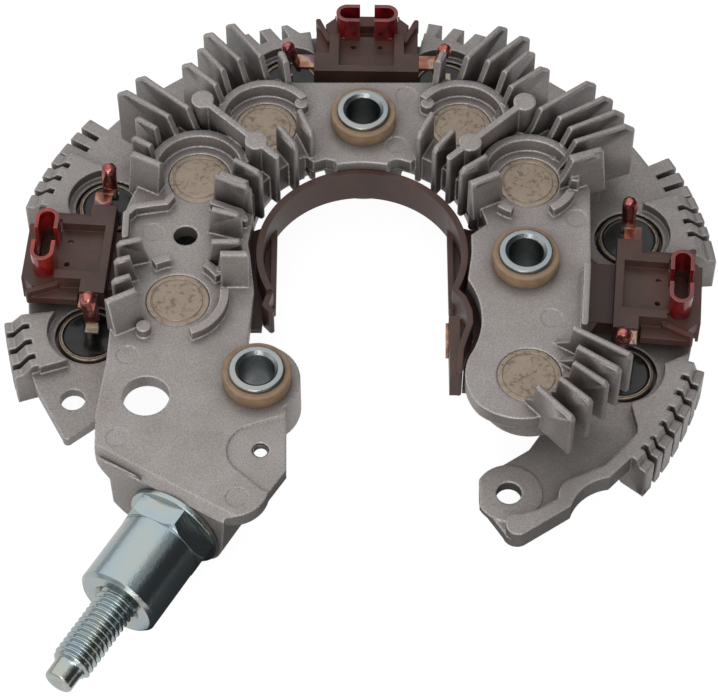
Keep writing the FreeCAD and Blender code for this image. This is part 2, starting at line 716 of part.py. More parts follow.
# Terminal block, drawn with the block on +X and then turned
def block_body():
    """One outer block in its own frame: reach along X, side along Y."""
    under = PAD_TOP + 0.2
    body = box(BLOCK_FACE, BLOCK_FACE + 5.1, -BLOCK_HALF, BLOCK_HALF, under, BLOCK_TOP)
    body = body.fuse(box(BLOCK_FACE + 4.7, BLOCK_FACE + 10.7, -8.0, 8.0, under, BLOCK_TOP))
    foot = box(BLOCK_INNER + 1.0, APRON_FACE - 2.3, -7.4, 7.4, NEG_TOP, under + 1)
    shelf = box(BLOCK_INNER, BLOCK_FACE + 1, -SHELF_HALF, SHELF_HALF, WEB_LOW, SHELF_TOP)
    back, front = BLOCK_FACE + 9.7, APRON_FACE - 0.6
    edge = [(front - 1.9, -9.0), (front, -7.0), (front, 7.0), (front - 1.9, 9.0), (back, 8.0)]
    ledge = slab((back, -8.0), edge, under, BLOCK_LEDGE)
    apron = box(APRON_FACE - 1.6, APRON_FACE, -7.0, 7.0, NEG_TOP, BLOCK_LEDGE)
    hook = box(NEG_OUTER_R + FREE_PLAY, APRON_FACE, -7.0, 7.0, NEG_TOP - 1.0, BLOCK_LEDGE)
    shapes = [body, foot, shelf, ledge, apron, hook]
    for side in (-1, 1):
        near, far = BLOCK_FACE + 5.7, APRON_FACE - 1.6
        ear = [(far, side * 11.0), (far, side * 9.6), (near + 5.6, side * 7.4), (near, side * 7.4)]
        shapes.append(slab((near, side * BLOCK_HALF * 0.98), ear, under, 13.0))
        rail = [(near + 4.6, side * 8.2), (far - 0.3, side * 10.6)]
        shapes.append(wall(rail, 1.1, under, BLOCK_LEDGE + 0.6))
    block = joined(shapes)
    tools = [box(BLOCK_FACE + 1.7, BLOCK_FACE + 11.3, -5.9, 5.9, BLOCK_FLOOR, BLOCK_TOP + 1)]
    tools += [post((CLIP_REACH - 2.0, side * 2.9), 0.55, BLOCK_FLOOR - 1.5, BLOCK_TOP) for side in (-1, 1)]
    bend = CLIP_GAP / 2 + CLIP_LENGTH - CLIP_DEPTH / 2
    wide = CLIP_DEPTH / 2 - CLIP_WALL
    middle = CLIP_REACH + CLIP_DEPTH / 2
    floor = BLOCK_LEDGE - CLIP_WELL
    tools.append(box(middle - wide, middle + wide, -bend, bend, floor, BLOCK_LEDGE + 1))
    tools += [post((middle, side * bend), wide, floor, BLOCK_LEDGE + 1) for side in (-1, 1)]
    for side in (-1, 1):
        centre = polar(NEG_DIODE_REACH, side * 17)
        tools.append(post((centre.x, centre.y), RECESS_R, 0, under))
    return block.cut(joined_tools(tools))


def ring_wall():
    """Round wall about the rotor axis with straight lips and the regulator pocket."""
    inner = RING_R - RING_WALL
    shapes = [sector(inner, RING_R, -27, 207, RING_LOW, RING_TOP)]
    foot = RING_LOW + RING_WALL
    for side in (-1, 1):
        edge = [(side * 18.9, -10.0), ((side * 21.3, 0.0), (side * 17.4, 12.2))]
        shapes.append(slab((side * 17.4, -10.0), edge, RING_LOW, foot))
        shapes.append(wall([(side * 18.0, -10.0), (side * 18.0, 10.0)], 1.2, RING_LOW, LIP_TOP))
    shapes.append(wall([(-18.4, -9.5), (-19.4, -12.6), (-18.2, -14.0)], 1.2, RING_LOW, RING_TOP - 0.8))
    pocket = [(18.6, -9.4), (20.2, -11.4), (21.3, -14.6), (21.4, -17.6)]
    pocket += [(20.4, -20.6), (19.4, -24.0), (19.0, -29.3)]
    shapes.append(wall(pocket, 1.2, RING_LOW, RING_TOP))
    shapes.append(box(17.2, 19.4, -29.8, -15.4, RING_LOW, RING_TOP - 0.8))
    return shapes


def slip_ring_shroud():
    """The round wall as one moulding, seated on the arms of the block."""
    return joined(ring_wall()).cut(regulator_terminal()).removeSplitter()


def shroud_flanges():
    """Flat flanges beside the round wall, one toward each side block."""
    right = [(22.0, -14.6), (22.1, -17.6), (21.1, -20.8), (20.1, -24.2), (19.7, -29.3)]
    right += [(24.6, -29.3), (26.4, -20.0), (27.0, -10.0), (27.0, 4.0), (23.5, 10.0), (18.0, 12.0)]
    left = [(-25.0, -14.6), (-26.4, -8.0), (-27.0, 0.0), (-26.0, 6.0), (-23.0, 10.0), (-18.0, 12.0)]
    core = post((0, 0), RING_R, 0, FIN_TOP)
    flanges = [slab((20.4, -10.2), right, RING_LOW, WEB_TOP), slab((-20.2, -14.6), left, RING_LOW, WEB_TOP)]
    return [flange.cut(core) for flange in flanges]


def web_arms():
    """Hidden arms that tie the ring, the blocks and the sleeve eyes together."""
    shapes = []
    for first, last in (((0.0, 20.8), BUSHES[0]), ((20.8, -3.0), BUSHES[1]), ((-20.8, -4.0), (-30.0, -4.0))):
        arm = wall([first, (last[0], last[1])], 7.0, WEB_LOW, WEB_TOP)
        arm = arm.cut(post((0, 0), RING_R, 0, FIN_TOP))
        shapes.append(arm.cut(post((0, 0), RING_R + 4.6, 0, RING_LOW)))
    for index, bush in enumerate(BUSHES[:2]):
        shapes.append(post(bush, EYE_R, NEG_TOP, POS_UNDER))
        reach = polar(BLOCK_INNER + 2, BLOCK_ANGLES[index + 1])
        shapes.append(wall([bush, (reach.x, reach.y)], 7.0, WEB_LOW, SHELF_TOP))
    reach = polar(BLOCK_INNER + 2, BLOCK_ANGLES[0])
    shapes.append(wall([(-30.0, -4.0), (reach.x, reach.y)], 7.0, WEB_LOW, SHELF_TOP))
    for spot, block, side in phase_pairs():
        anchor = block_point(block, BLOCK_INNER + 2, side * STRIP_SIDE)
        shapes.append(wall([spot, anchor], STRIP_WIDTH + 1.0, WEB_LOW, SHELF_TOP))
    return shapes


def terminal_block():
    """The brown moulding."""
    shapes = [turned(block_body(), angle) for angle in BLOCK_ANGLES]
    shapes += web_arms() + shroud_flanges()
    body = joined(shapes).cut(joined(ring_wall()))
    tools = [post(spot, SLEEVE_R + 2 * FREE_PLAY, 0, FIN_TOP) for spot in BUSHES[:2]]
    for spot in POS_DIODES:
        tools.append(post(spot, PIN_R + 1.2, STRIP_LOW + STRIP_THICK, FIN_TOP))
    body = body.cut(joined_tools(tools))
    for metal in phase_terminals():
        body = body.cut(metal)
    return body.removeSplitter()


# Copper terminals
def block_point(block, reach, side):
    """Plan point given in a block's own frame."""
    turn = math.radians(BLOCK_ANGLES[block])
    x = reach * math.cos(turn) - side * math.sin(turn)
    y = reach * math.sin(turn) + side * math.cos(turn)
    return (x, y)


def phase_pairs():
    """Each upper diode with its block and the side of the block it feeds."""
    order = [(0, 0, 1), (1, 0, -1), (2, 1, 1), (3, 1, -1), (4, 2, 1), (5, 2, -1)]
    return [(POS_DIODES[diode], block, side) for diode, block, side in order]


def wire_clip(side):
    """U clip that grips the winding ends, open toward the middle of its block."""
    near = side * CLIP_GAP / 2
    far = side * (CLIP_GAP / 2 + CLIP_LENGTH)
    r = CLIP_DEPTH / 2
    low, high = BLOCK_LEDGE, BLOCK_LEDGE + CLIP_HEIGHT
    mid = CLIP_REACH + r
    bend = far - side * r
    outer = box(CLIP_REACH, CLIP_REACH + CLIP_DEPTH, min(near, bend), max(near, bend), low, high)
    outer = outer.fuse(post((mid, bend), r, low, high))
    w = CLIP_WALL
    hollow_end = near - side
    y0, y1 = sorted((hollow_end, bend))
    inner = box(CLIP_REACH + w, CLIP_REACH + CLIP_DEPTH - w, y0, y1, low - 1, high + 1)
    inner = inner.fuse(post((mid, bend), r - w, low - 1, high + 1))
    return outer.cut(inner).removeSplitter()


def phase_terminal(spot, block, side):
    """Strip from an upper diode through the block to the wire clip and the weld tab."""
    high = STRIP_LOW + STRIP_THICK
    half = STRIP_WIDTH / 2
    angle = BLOCK_ANGLES[block]
    anchor = block_point(block, BLOCK_INNER + 2, side * STRIP_SIDE)
    hidden = wall([spot, anchor], STRIP_WIDTH, STRIP_LOW, high)
    y0, y1 = sorted((side * (STRIP_SIDE - half), side * (STRIP_SIDE + half)))
    end = CLIP_REACH - 3.6
    run = box(BLOCK_INNER + 2, end, y0, y1, STRIP_LOW, high)
    c0, c1 = sorted((side * 3.0, side * 5.4))
    riser = box(end - STRIP_THICK, end, c0, c1, STRIP_LOW, BLOCK_LEDGE - 0.8)
    bar = box(end - STRIP_THICK, CLIP_REACH + CLIP_WALL, c0, c1, BLOCK_LEDGE - 1.6, BLOCK_LEDGE - 0.8)
    foot = box(CLIP_REACH, CLIP_REACH + CLIP_WALL, c0, c1, BLOCK_LEDGE - 1.6, BLOCK_LEDGE + 0.5)
    a0, a1 = sorted((side * 6.0, side * TAB_BASE_SIDE))
    l0, l1 = sorted((side * 6.0, side * (6.0 + STRIP_THICK)))
    arm = box(ARM_NEAR, ARM_FAR, a0, a1, ARM_LOW, ARM_LOW + STRIP_THICK)
    link = box(ARM_NEAR, ARM_FAR, l0, l1, STRIP_LOW, ARM_LOW + STRIP_THICK)
    near, crest = TAB_REACH - TAB_WIDTH / 2, TAB_TOP - TAB_BALL_R
    lean = [(TAB_BASE_SIDE - TAB_THICK, ARM_LOW), (TAB_BASE_SIDE, ARM_LOW)]
    lean += [(TAB_TOP_SIDE, crest), (TAB_TOP_SIDE - TAB_THICK, crest)]
    points = [Vector(near, side * y, z) for y, z in lean]
    tab = Part.Face(Part.makePolygon(points + [points[0]])).extrude(Vector(TAB_WIDTH, 0, 0))
    middle = Vector(TAB_REACH, side * (TAB_TOP_SIDE - TAB_THICK / 2), crest)
    ball = Part.makeSphere(TAB_BALL_R, middle, Vector(1, 0, 0))
    pieces = (run, riser, bar, foot, wire_clip(side), arm, link, tab, ball)
    return joined([hidden] + [turned(piece, angle) for piece in pieces])


def phase_terminals():
    """All six phase terminals."""
    return [phase_terminal(*row) for row in phase_pairs()]


def regulator_terminal():
    """Small copper face in the pocket of the ring wall."""
    blade = box(16.6, 17.2, -21.2, -16.2, RING_LOW + 0.5, RING_TOP - 2.2)
    return blade.fuse(box(16.6, 19.9, -19.4, -18.0, RING_LOW + 1.5, RING_LOW + 2.5)).removeSplitter()


# Diodes
def diode_cup(spot, low, open_up):
    """Press-fit cup: thick base and thin wall."""
    body = post(spot, DIODE_R, low, low + DIODE_LENGTH)
    edges = [e for e in body.Edges if isinstance(e.Curve, Part.Circle)]
    body = body.makeFillet(0.35, edges)
    inner = DIODE_R - DIODE_WALL
    if open_up:
        return body.cut(post(spot, inner, low + DIODE_BASE, low + DIODE_LENGTH + 1))
    body = body.cut(post(spot, inner, low - 1, low + DIODE_LENGTH - DIODE_BASE))
    step = tube(spot, 5.3, 5.0, low + DIODE_LENGTH - 0.15, low + DIODE_LENGTH + 1)
    return body.cut(step)


def chip(spot, low):
    """Square silicon chip."""
    half = CHIP_SIDE / 2
    return box(spot[0] - half, spot[0] + half, spot[1] - half, spot[1] + half, low, low + CHIP_THICK)


def positive_diode(index, spot):
    """Cup with its base up, potting, pin bent down to the strip."""
    low = POS_TOP + 0.05 - DIODE_LENGTH
    ceiling = low + DIODE_LENGTH - DIODE_BASE
    name = "positive_diode_" + str(index + 1)
    save(name + "_cup", diode_cup(spot, low, False))
    pin = post(spot, PIN_R, STRIP_LOW + STRIP_THICK, ceiling - CHIP_THICK)
    head = post(spot, PIN_R + 0.9, ceiling - CHIP_THICK - 0.8, ceiling - CHIP_THICK)
    lead = pin.fuse(head).removeSplitter()
    save(name + "_lead", lead)
    piece = chip(spot, ceiling - CHIP_THICK)
    fill = post(spot, DIODE_R - DIODE_WALL, low + 0.4, ceiling)
    save(name + "_potting", fill.cut(piece).cut(lead))
    return piece


def negative_diode(index, spot, block, side):
    """Cup with its mouth up, potting, pin with a bent flat lead to the weld tab."""
    low = CUP_BOSS_LOW + 0.8
    floor = low + DIODE_BASE
    name = "negative_diode_" + str(index + 1)
    save(name + "_cup", diode_cup(spot, low, True))
    piece = chip(spot, floor)
    angle = BLOCK_ANGLES[block]
    home = (spot[0] * math.cos(math.radians(angle)) + spot[1] * math.sin(math.radians(angle)),
            spot[1] * math.cos(math.radians(angle)) - spot[0] * math.sin(math.radians(angle)))
    t0, t1 = sorted((side * LEAD_SIDE, side * (LEAD_SIDE + LEAD_THICK)))
    near, far = TAB_REACH - TAB_WIDTH / 2, TAB_REACH + TAB_WIDTH / 2
    head = post(home, PIN_R + 0.9, floor + CHIP_THICK, floor + CHIP_THICK + 0.8)
    pin = post(home, 0.65, floor + CHIP_THICK, 11.6)
    s0, s1 = sorted((side * LEAD_SIDE, side * (LEAD_SIDE + 1.9)))
    step = box(near, far, s0, s1, 11.4, 12.0)
    rise = box(near, far, t0, t1, 11.4, TAB_TOP - TAB_BALL_R)
    lead = joined([turned(shape, angle) for shape in (head, pin, step, rise)])
    metal = phase_terminal(*phase_pairs()[index])
    save(name + "_lead", lead.cut(metal))
    fill = post(spot, DIODE_R - DIODE_WALL, floor, low + DIODE_LENGTH - 0.5)
    save(name + "_potting", fill.cut(piece).cut(lead))
    return piece


# Sleeves and bushes
def sleeve_and_bush(name, spot, foot):
    """Steel sleeve with rolled rims, and its insulating bush."""
    rim_low = POS_TOP + BUSH_RISE
    tube_part = post(spot, SLEEVE_R, foot - SLEEVE_RIM, rim_low + SLEEVE_RIM)
    rims = [post(spot, SLEEVE_RIM_R, rim_low, rim_low + SLEEVE_RIM)]
    rims.append(post(spot, SLEEVE_RIM_R, foot - SLEEVE_RIM, foot))
    body = joined([tube_part] + rims)
    top = rim_low + SLEEVE_RIM
    bottom = foot - SLEEVE_RIM
    edges = [e for e in body.Edges if isinstance(e.Curve, Part.Circle)
             and (abs(e.Vertexes[0].Z - top) < 0.01 or abs(e.Vertexes[0].Z - bottom) < 0.01)]
    body = body.makeFillet(SLEEVE_RIM * 0.7, edges)
    body = body.cut(post(spot, SLEEVE_BORE_R, 0, FIN_TOP))
    mouth = Part.makeCone(SLEEVE_BORE_R, SLEEVE_BORE_R + 0.7, 0.7, flat(spot, top - 0.7))
    save("rivet_sleeve_" + name, body.cut(mouth))
    end = max(foot, POS_UNDER)
    if foot > NEG_TOP:
        end = foot
    flange = post(spot, BUSH_R, POS_TOP, rim_low)
    rounded = [e for e in flange.Edges if isinstance(e.Curve, Part.Circle) and e.Vertexes[0].Z > POS_TOP + 1]
    flange = flange.makeFillet(0.5, rounded)
    bush = flange.fuse(post(spot, BUSH_SHANK_R, end, POS_TOP + 0.1))
    bush = bush.cut(post(spot, SLEEVE_R + FREE_PLAY / 2, 0, FIN_TOP))
    save("insulator_bush_" + name, bush.removeSplitter())


# B+ stud
def b_plus_hardware():
    """Stud with dog point, flange washer and the long spacer nut."""
    washer_end = END_FACE + WASHER_THICK
    nut_end = washer_end + NUT_LENGTH
    thread_end = nut_end + THREAD_OUT
    tip = thread_end + DOG_LENGTH
    shank = rod(SHANK_R, END_START, nut_end)
    head = rod(STUD_HEAD_R, END_START - STUD_HEAD, END_START)
    stud = joined([shank, rod(STUD_R, nut_end, thread_end), head])
    chamfer = Part.makeCone(STUD_R, DOG_R, 0.9, Vector(thread_end, 0, 0), Vector(1, 0, 0))
    dog = rod(DOG_R, thread_end, tip)
    end_edge = [e for e in dog.Edges if isinstance(e.Curve, Part.Circle) and e.CenterOfMass.x > tip - 0.1]
    dog = dog.makeChamfer(0.5, end_edge)
    stud = joined([stud, chamfer, dog])
    stud = stud.cut(Part.makeCone(0.2, 1.5, 0.8, Vector(tip - 0.8, 0, 0), Vector(1, 0, 0)))
    save("b_plus_stud", stud_frame(stud))
    washer = rod(WASHER_R, END_FACE, washer_end)
    rims = [e for e in washer.Edges if isinstance(e.Curve, Part.Circle)]
    washer = washer.makeFillet(0.3, rims).cut(rod(SHANK_R + NUT_BORE_PLAY, 0, nut_end))
    save("flange_washer", stud_frame(washer))
    corner = NUT_ACROSS / math.sqrt(3)
    points = [Vector(washer_end, corner * math.cos(math.radians(60 * k + 10)),
                     corner * math.sin(math.radians(60 * k + 10))) for k in range(7)]
    hexagon = Part.Face(Part.makePolygon(points)).extrude(Vector(NUT_HEX, 0, 0))
    crown_start = Vector(washer_end + 1.4, 0, 0)
    crown = Part.makeCone(corner + 2.4, NUT_BODY_R, NUT_HEX - 1.0, crown_start, Vector(1, 0, 0))
    base = rod(corner + 1, washer_end, washer_end + 1.4)
    hexagon = hexagon.common(crown.fuse(base))
    collar_part = rod(NUT_BODY_R, washer_end, nut_end)
    circles = [e for e in collar_part.Edges if isinstance(e.Curve, Part.Circle)]
    ends = [e for e in circles if e.CenterOfMass.x > nut_end - 0.1]
    collar_part = collar_part.makeChamfer(0.7, ends)
    nut = joined([hexagon, collar_part]).cut(rod(SHANK_R + NUT_BORE_PLAY, 0, nut_end + 1))
    nut = nut.cut(Part.makeCone(STUD_R, STUD_R + 1.0, 1.0, Vector(nut_end - 1.0, 0, 0), Vector(1, 0, 0)))
    save("spacer_nut", stud_frame(nut))


def build():
    """Write every piece."""
    os.makedirs("parts", exist_ok=True)
    save("positive_heat_sink", positive_heat_sink())
    save("negative_heat_sink", negative_heat_sink())
    save("terminal_block", terminal_block())
    save("slip_ring_shroud", slip_ring_shroud())
    for index, shape in enumerate(phase_terminals()):
        save("phase_terminal_" + str(index + 1), shape)
    save("regulator_terminal", regulator_terminal())
    upper = [positive_diode(index, spot) for index, spot in enumerate(POS_DIODES)]
    save("positive_diode_chips", Part.makeCompound(upper))
    lower = []
    for index, spot in enumerate(negative_spots()):
        pair = phase_pairs()[index]
        lower.append(negative_diode(index, spot, pair[1], pair[2]))
    save("negative_diode_chips", Part.makeCompound(lower))
    sleeve_and_bush("top", BUSHES[0], NEG_UNDER)
    sleeve_and_bush("right", BUSHES[1], NEG_UNDER)
    sleeve_and_bush("left", BUSHES[2], FOOT_BOSS_LOW)
    b_plus_hardware()


build()
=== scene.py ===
# %% [markdown]
# # Alternator rectifier
#
# A horseshoe of two cast aluminium heat sinks, with twelve press-fit diodes between the stator's
# windings and the battery stud. The solids come in with the frame. This lesson dresses them:
# cast metal, moulding, lacquered copper, zinc plate, a rolled thread, then floor, light and camera.

import math

import bpy
import numpy as np
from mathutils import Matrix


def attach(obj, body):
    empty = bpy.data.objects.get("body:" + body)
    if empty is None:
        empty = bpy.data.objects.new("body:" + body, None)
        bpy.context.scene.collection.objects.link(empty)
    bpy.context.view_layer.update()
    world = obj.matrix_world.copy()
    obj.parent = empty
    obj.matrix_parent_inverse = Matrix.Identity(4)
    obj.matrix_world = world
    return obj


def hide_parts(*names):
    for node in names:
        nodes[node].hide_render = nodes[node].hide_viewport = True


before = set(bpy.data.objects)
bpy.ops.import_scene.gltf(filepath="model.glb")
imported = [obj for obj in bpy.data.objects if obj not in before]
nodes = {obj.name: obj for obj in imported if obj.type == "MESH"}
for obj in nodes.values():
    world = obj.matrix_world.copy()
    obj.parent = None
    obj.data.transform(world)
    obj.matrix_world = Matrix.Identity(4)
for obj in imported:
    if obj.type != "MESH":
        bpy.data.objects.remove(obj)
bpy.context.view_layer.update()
MM = 0.001
print("solids:", len(nodes))

# %% [markdown]
# ## Smooth skins on the solids
#
# The solids arrive as loose triangles. Welding the points and splitting them again only at sharp
# corners lets round faces shade round. Both are modifiers, so the triangles themselves stay as
# they are.

# %% Weld and split at sharp corners
WELD_REACH = 0.001 * MM
SHARP_ANGLE = math.radians(32.0)


def shade_round(obj):
    """Weld equal points, then split the edges whose faces turn by more than the sharp angle."""
    obj.data.polygons.foreach_set("use_smooth", np.ones(len(obj.data.polygons), bool))
    weld = obj.modifiers.new("weld", "WELD")
    weld.merge_threshold = WELD_REACH
    split = obj.modifiers.new("sharp corners", "EDGE_SPLIT")
    split.split_angle = SHARP_ANGLE


for node in nodes.values():
    shade_round(node)
print("round shading on", len(nodes), "pieces")

# %% [markdown]
# ## Tools for building materials
#
# A material is a net of nodes. Small helpers keep the nets short to write: they add a node and
# fill or link its inputs, start a shared group with named sockets, and make the noises, ranges
# and blends that every material uses.

# %% Node helpers
def add(tree, kind, inputs=(), **settings):
    """New node; inputs maps a socket name or number to a value or to another node's output."""
    node = tree.nodes.new(kind)
    for key, value in settings.items():
        setattr(node, key, value)
    for key, value in dict(inputs).items():
        if isinstance(value, bpy.types.NodeSocket):
            tree.links.new(value, node.inputs[key])
        else:
            node.inputs[key].default_value = value
    return node


def new_group(name, inputs, outputs):
    """Shader group; inputs are rows of (name, kind, start value), outputs of (name, kind)."""
    tree = bpy.data.node_groups.new(name, "ShaderNodeTree")
    for label, kind, start in inputs:
        socket = tree.interface.new_socket(label, in_out="INPUT", socket_type="NodeSocket" + kind)
        if start is not None:
            socket.default_value = start
    for label, kind in outputs:
        tree.interface.new_socket(label, in_out="OUTPUT", socket_type="NodeSocket" + kind)
    return tree, tree.nodes.new("NodeGroupInput"), tree.nodes.new("NodeGroupOutput")


def place(tree, group, inputs=()):
    """Put a shared group into a material."""
    return add(tree, "ShaderNodeGroup", inputs, node_tree=group)


def math_node(tree, operation, a, b=0.0, clamp=False):
    """One sum; a and b are numbers or sockets."""
    node = add(tree, "ShaderNodeMath", {0: a, 1: b}, operation=operation, use_clamp=clamp)
    return node.outputs[0]


def noise(tree, vector, scale, **shape):
    """Noise from 0 to 1, scale cells to the metre; shape sets Detail, Roughness, Distortion."""
    return add(tree, "ShaderNodeTexNoise", {"Vector": vector, "Scale": scale, **shape}).outputs[0]


def remap(tree, value, low, high, to_low=0.0, to_high=1.0):
    """Value in a straight line from low and high to two new ends, and no further."""
    ends = {0: value, 1: low, 2: high, 3: to_low, 4: to_high}
    return add(tree, "ShaderNodeMapRange", ends).outputs[0]


def blend_colours(tree, share, first, second, mode="MIX"):
    """Colour between two colours, by a share from 0 to 1."""
    inputs = {0: share, 6: first, 7: second}
    return add(tree, "ShaderNodeMix", inputs, data_type="RGBA", blend_type=mode).outputs[2]


def axis_distance(tree, vector):
    """Distance from the rotor axis: the length of the point's x and y, without its height."""
    plan = add(tree, "ShaderNodeVectorMath", {0: vector, 1: (1, 1, 0)}, operation="MULTIPLY")
    length = add(tree, "ShaderNodeVectorMath", {0: plan.outputs[0]}, operation="LENGTH")
    return length.outputs["Value"]


def colour(red, green, blue):
    """Screen colour from 0 to 255, as the light values that nodes use."""
    share = np.array([red, green, blue]) / 255.0
    light = np.where(share <= 0.04045, share / 12.92, ((share + 0.055) / 1.055) ** 2.4)
    return (*[float(v) for v in light], 1.0)


print("helpers ready; mid grey is", [round(v, 3) for v in colour(128, 128, 128)])

# %% [markdown]
# Every material starts with the same shader and the piece's own coordinates. Roughness and bump
# mostly follow a pattern, and two helpers link them.

# %% Start, roughness and bump of a material
def start_material(name, **principled):
    """Material with a Principled shader; returns it, its tree, shader and Object coordinates."""
    material = bpy.data.materials.new(name)
    material.use_nodes = True
    tree = material.node_tree
    shader = tree.nodes["Principled BSDF"]
    for key, value in principled.items():
        label = key.replace("_", " ").title().replace("Ior", "IOR")
        shader.inputs[label].default_value = value
    where = add(tree, "ShaderNodeTexCoord")
    return material, tree, shader, where.outputs["Object"]


def roughen(tree, shader, pattern, at_low, at_high):
    """Roughness by a pattern: at_low where it is 0.3, at_high where it is 0.7."""
    tree.links.new(remap(tree, pattern, 0.3, 0.7, at_low, at_high), shader.inputs["Roughness"])


def emboss(tree, shader, height, strength, depth, normal=None, invert=False):
    """Bump of a depth in metres from a height pattern, on a corner's normal where one is given."""
    inputs = {"Strength": strength, "Distance": depth, "Height": height}
    if normal is not None:
        inputs["Normal"] = normal
    bump = add(tree, "ShaderNodeBump", inputs, invert=invert)
    tree.links.new(bump.outputs[0], shader.inputs["Normal"])


print("material helpers ready")

# %% [markdown]
# ## Shared effects
#
# ** Worn and highlighted corners.** Every cast or plated corner is a little round, worn brighter than the faces, and also given a painted highlight. The Bevel node gives the normal of a rounded corner; where it differs from the real normal there is a corner,
# so one node gives both the round shading and the mask for wear and painted highlight.

# %% Worn and highlighted corners group (mask for wear and painted highlight)
corner_group, entry, leave = new_group(
    "worn and highlighted corners",
    [("Radius", "Float", 0.3 * MM), ("Gain", "Float", 3.0)],
    [("Mask", "Float"), ("Normal", "Vector")])
bevel = add(corner_group, "ShaderNodeBevel", {"Radius": entry.outputs["Radius"]}, samples=6)
plain = add(corner_group, "ShaderNodeNewGeometry")
both_normals = {0: bevel.outputs[0], 1: plain.outputs["Normal"]}
cosine = add(corner_group, "ShaderNodeVectorMath", both_normals, operation="DOT_PRODUCT")
# The mask marks corners; the materials use it for wear and for a painted highlight.
turned = math_node(corner_group, "SUBTRACT", 1.0, cosine.outputs["Value"])
mask = math_node(corner_group, "MULTIPLY", turned, entry.outputs["Gain"], True)
corner_group.links.new(mask, leave.inputs["Mask"])
corner_group.links.new(bevel.outputs[0], leave.inputs["Normal"])
print("group:", corner_group.name)

# %% [markdown]
# **Cast grain.** Shot-blasted castings have a skin of fine rounded pits a few tenths of a
# millimetre across, with slow cloudy changes of tone from the flow of the metal. A smooth
# cell pattern gives the pits and two noises give the tone.

# %% Cast grain group
grain_group, entry, leave = new_group(
    "cast grain",
    [("Vector", "Vector", None), ("Pit size", "Float", 0.34 * MM)],
    [("Height", "Float"), ("Fleck", "Float"), ("Cloud", "Float")])
vector = entry.outputs["Vector"]
density = math_node(grain_group, "DIVIDE", 1.0, entry.outputs["Pit size"])
cells = {"Vector": vector, "Scale": density, "Randomness": 1.0}
pits = add(grain_group, "ShaderNodeTexVoronoi", cells, feature="SMOOTH_F1")
fine_density = math_node(grain_group, "MULTIPLY", density, 0.62)
fine = noise(grain_group, vector, fine_density, Detail=3.0, Roughness=0.62)
cloud = noise(grain_group, vector, 95.0, Detail=4.0, Roughness=0.6)
shallow = math_node(grain_group, "MULTIPLY", pits.outputs["Distance"], 0.55)
grain_group.links.new(math_node(grain_group, "ADD", shallow, fine), leave.inputs["Height"])
grain_group.links.new(fine, leave.inputs["Fleck"])
grain_group.links.new(cloud, leave.inputs["Cloud"])
print("group:", grain_group.name)

# %% [markdown]
# ** Dust and shade.** Dust and die lubricant stay in the corners between fins, and shade falls there too: the mask paints both, as dust and painted shade. Ambient occlusion finds
# the corners and a noise breaks the edge of the darkening.

# %% Dust and painted shade group
dust_and_shade_group, entry, leave = new_group(
    "dust_and_shade",
    [("Vector", "Vector", None), ("Reach", "Float", 4.0 * MM), ("Amount", "Float", 1.0)],
    [("Mask", "Float")])
open_share = add(dust_and_shade_group, "ShaderNodeAmbientOcclusion",
                 {"Distance": entry.outputs["Reach"]}, samples=4)
patchy = noise(dust_and_shade_group, entry.outputs["Vector"], 260.0, Detail=3.0)
# Deeper corners give a stronger mask: painted shade, with dust.
depth = math_node(dust_and_shade_group, "SUBTRACT", 1.0, open_share.outputs["AO"])
ragged = math_node(dust_and_shade_group, "MULTIPLY", depth, math_node(dust_and_shade_group, "ADD", patchy, 0.6))
mask = math_node(dust_and_shade_group, "MULTIPLY", ragged, entry.outputs["Amount"], True)
dust_and_shade_group.links.new(mask, leave.inputs["Mask"])
print("group:", dust_and_shade_group.name)

# %% [markdown]
# **Heat tint.** Copper that was hot carries thin films whose colour runs from brown through
# straw to purple. A noise picks the film's thickness, and a ramp turns it into a colour.

# %% Heat tint group
heat_group, entry, leave = new_group(
    "heat tint",
    [("Vector", "Vector", None), ("Scale", "Float", 230.0)],
    [("Colour", "Color"), ("Share", "Float")])
film = noise(heat_group, entry.outputs["Vector"], entry.outputs["Scale"],
             Detail=1.5, Distortion=0.5)
bands = add(heat_group, "ShaderNodeValToRGB", {0: film})
ramp = bands.color_ramp
stops = [(0.30, (92, 42, 36)), (0.42, (142, 74, 58)), (0.50, (170, 112, 88)),
         (0.55, (178, 158, 118)), (0.61, (128, 84, 112)), (0.70, (104, 46, 56))]
while len(ramp.elements) < len(stops):
    ramp.elements.new(0.5)
for element, (position, tone) in zip(ramp.elements, stops):
    element.position = position
    element.color = colour(*tone)
heat_group.links.new(bands.outputs[0], leave.inputs["Colour"])
heat_group.links.new(film, leave.inputs["Share"])
print("group:", heat_group.name)

# %% [markdown]
# ## Cast aluminium
#
# Both heat sinks are die castings, blasted to an even grey. The upper one is lighter and a
# little pink, the lower one duller and browner. Faces that stand upright look darker because
# metal mirrors its surroundings, so the shader is partly metallic and rather rough. The same
# metal, freshly cut, is brighter and smoother.

# %% Cast aluminium
CAST_PIT = 0.2 * MM
CAST_EDGE_R = 0.7 * MM
FIN_GAP = 7.0 * MM


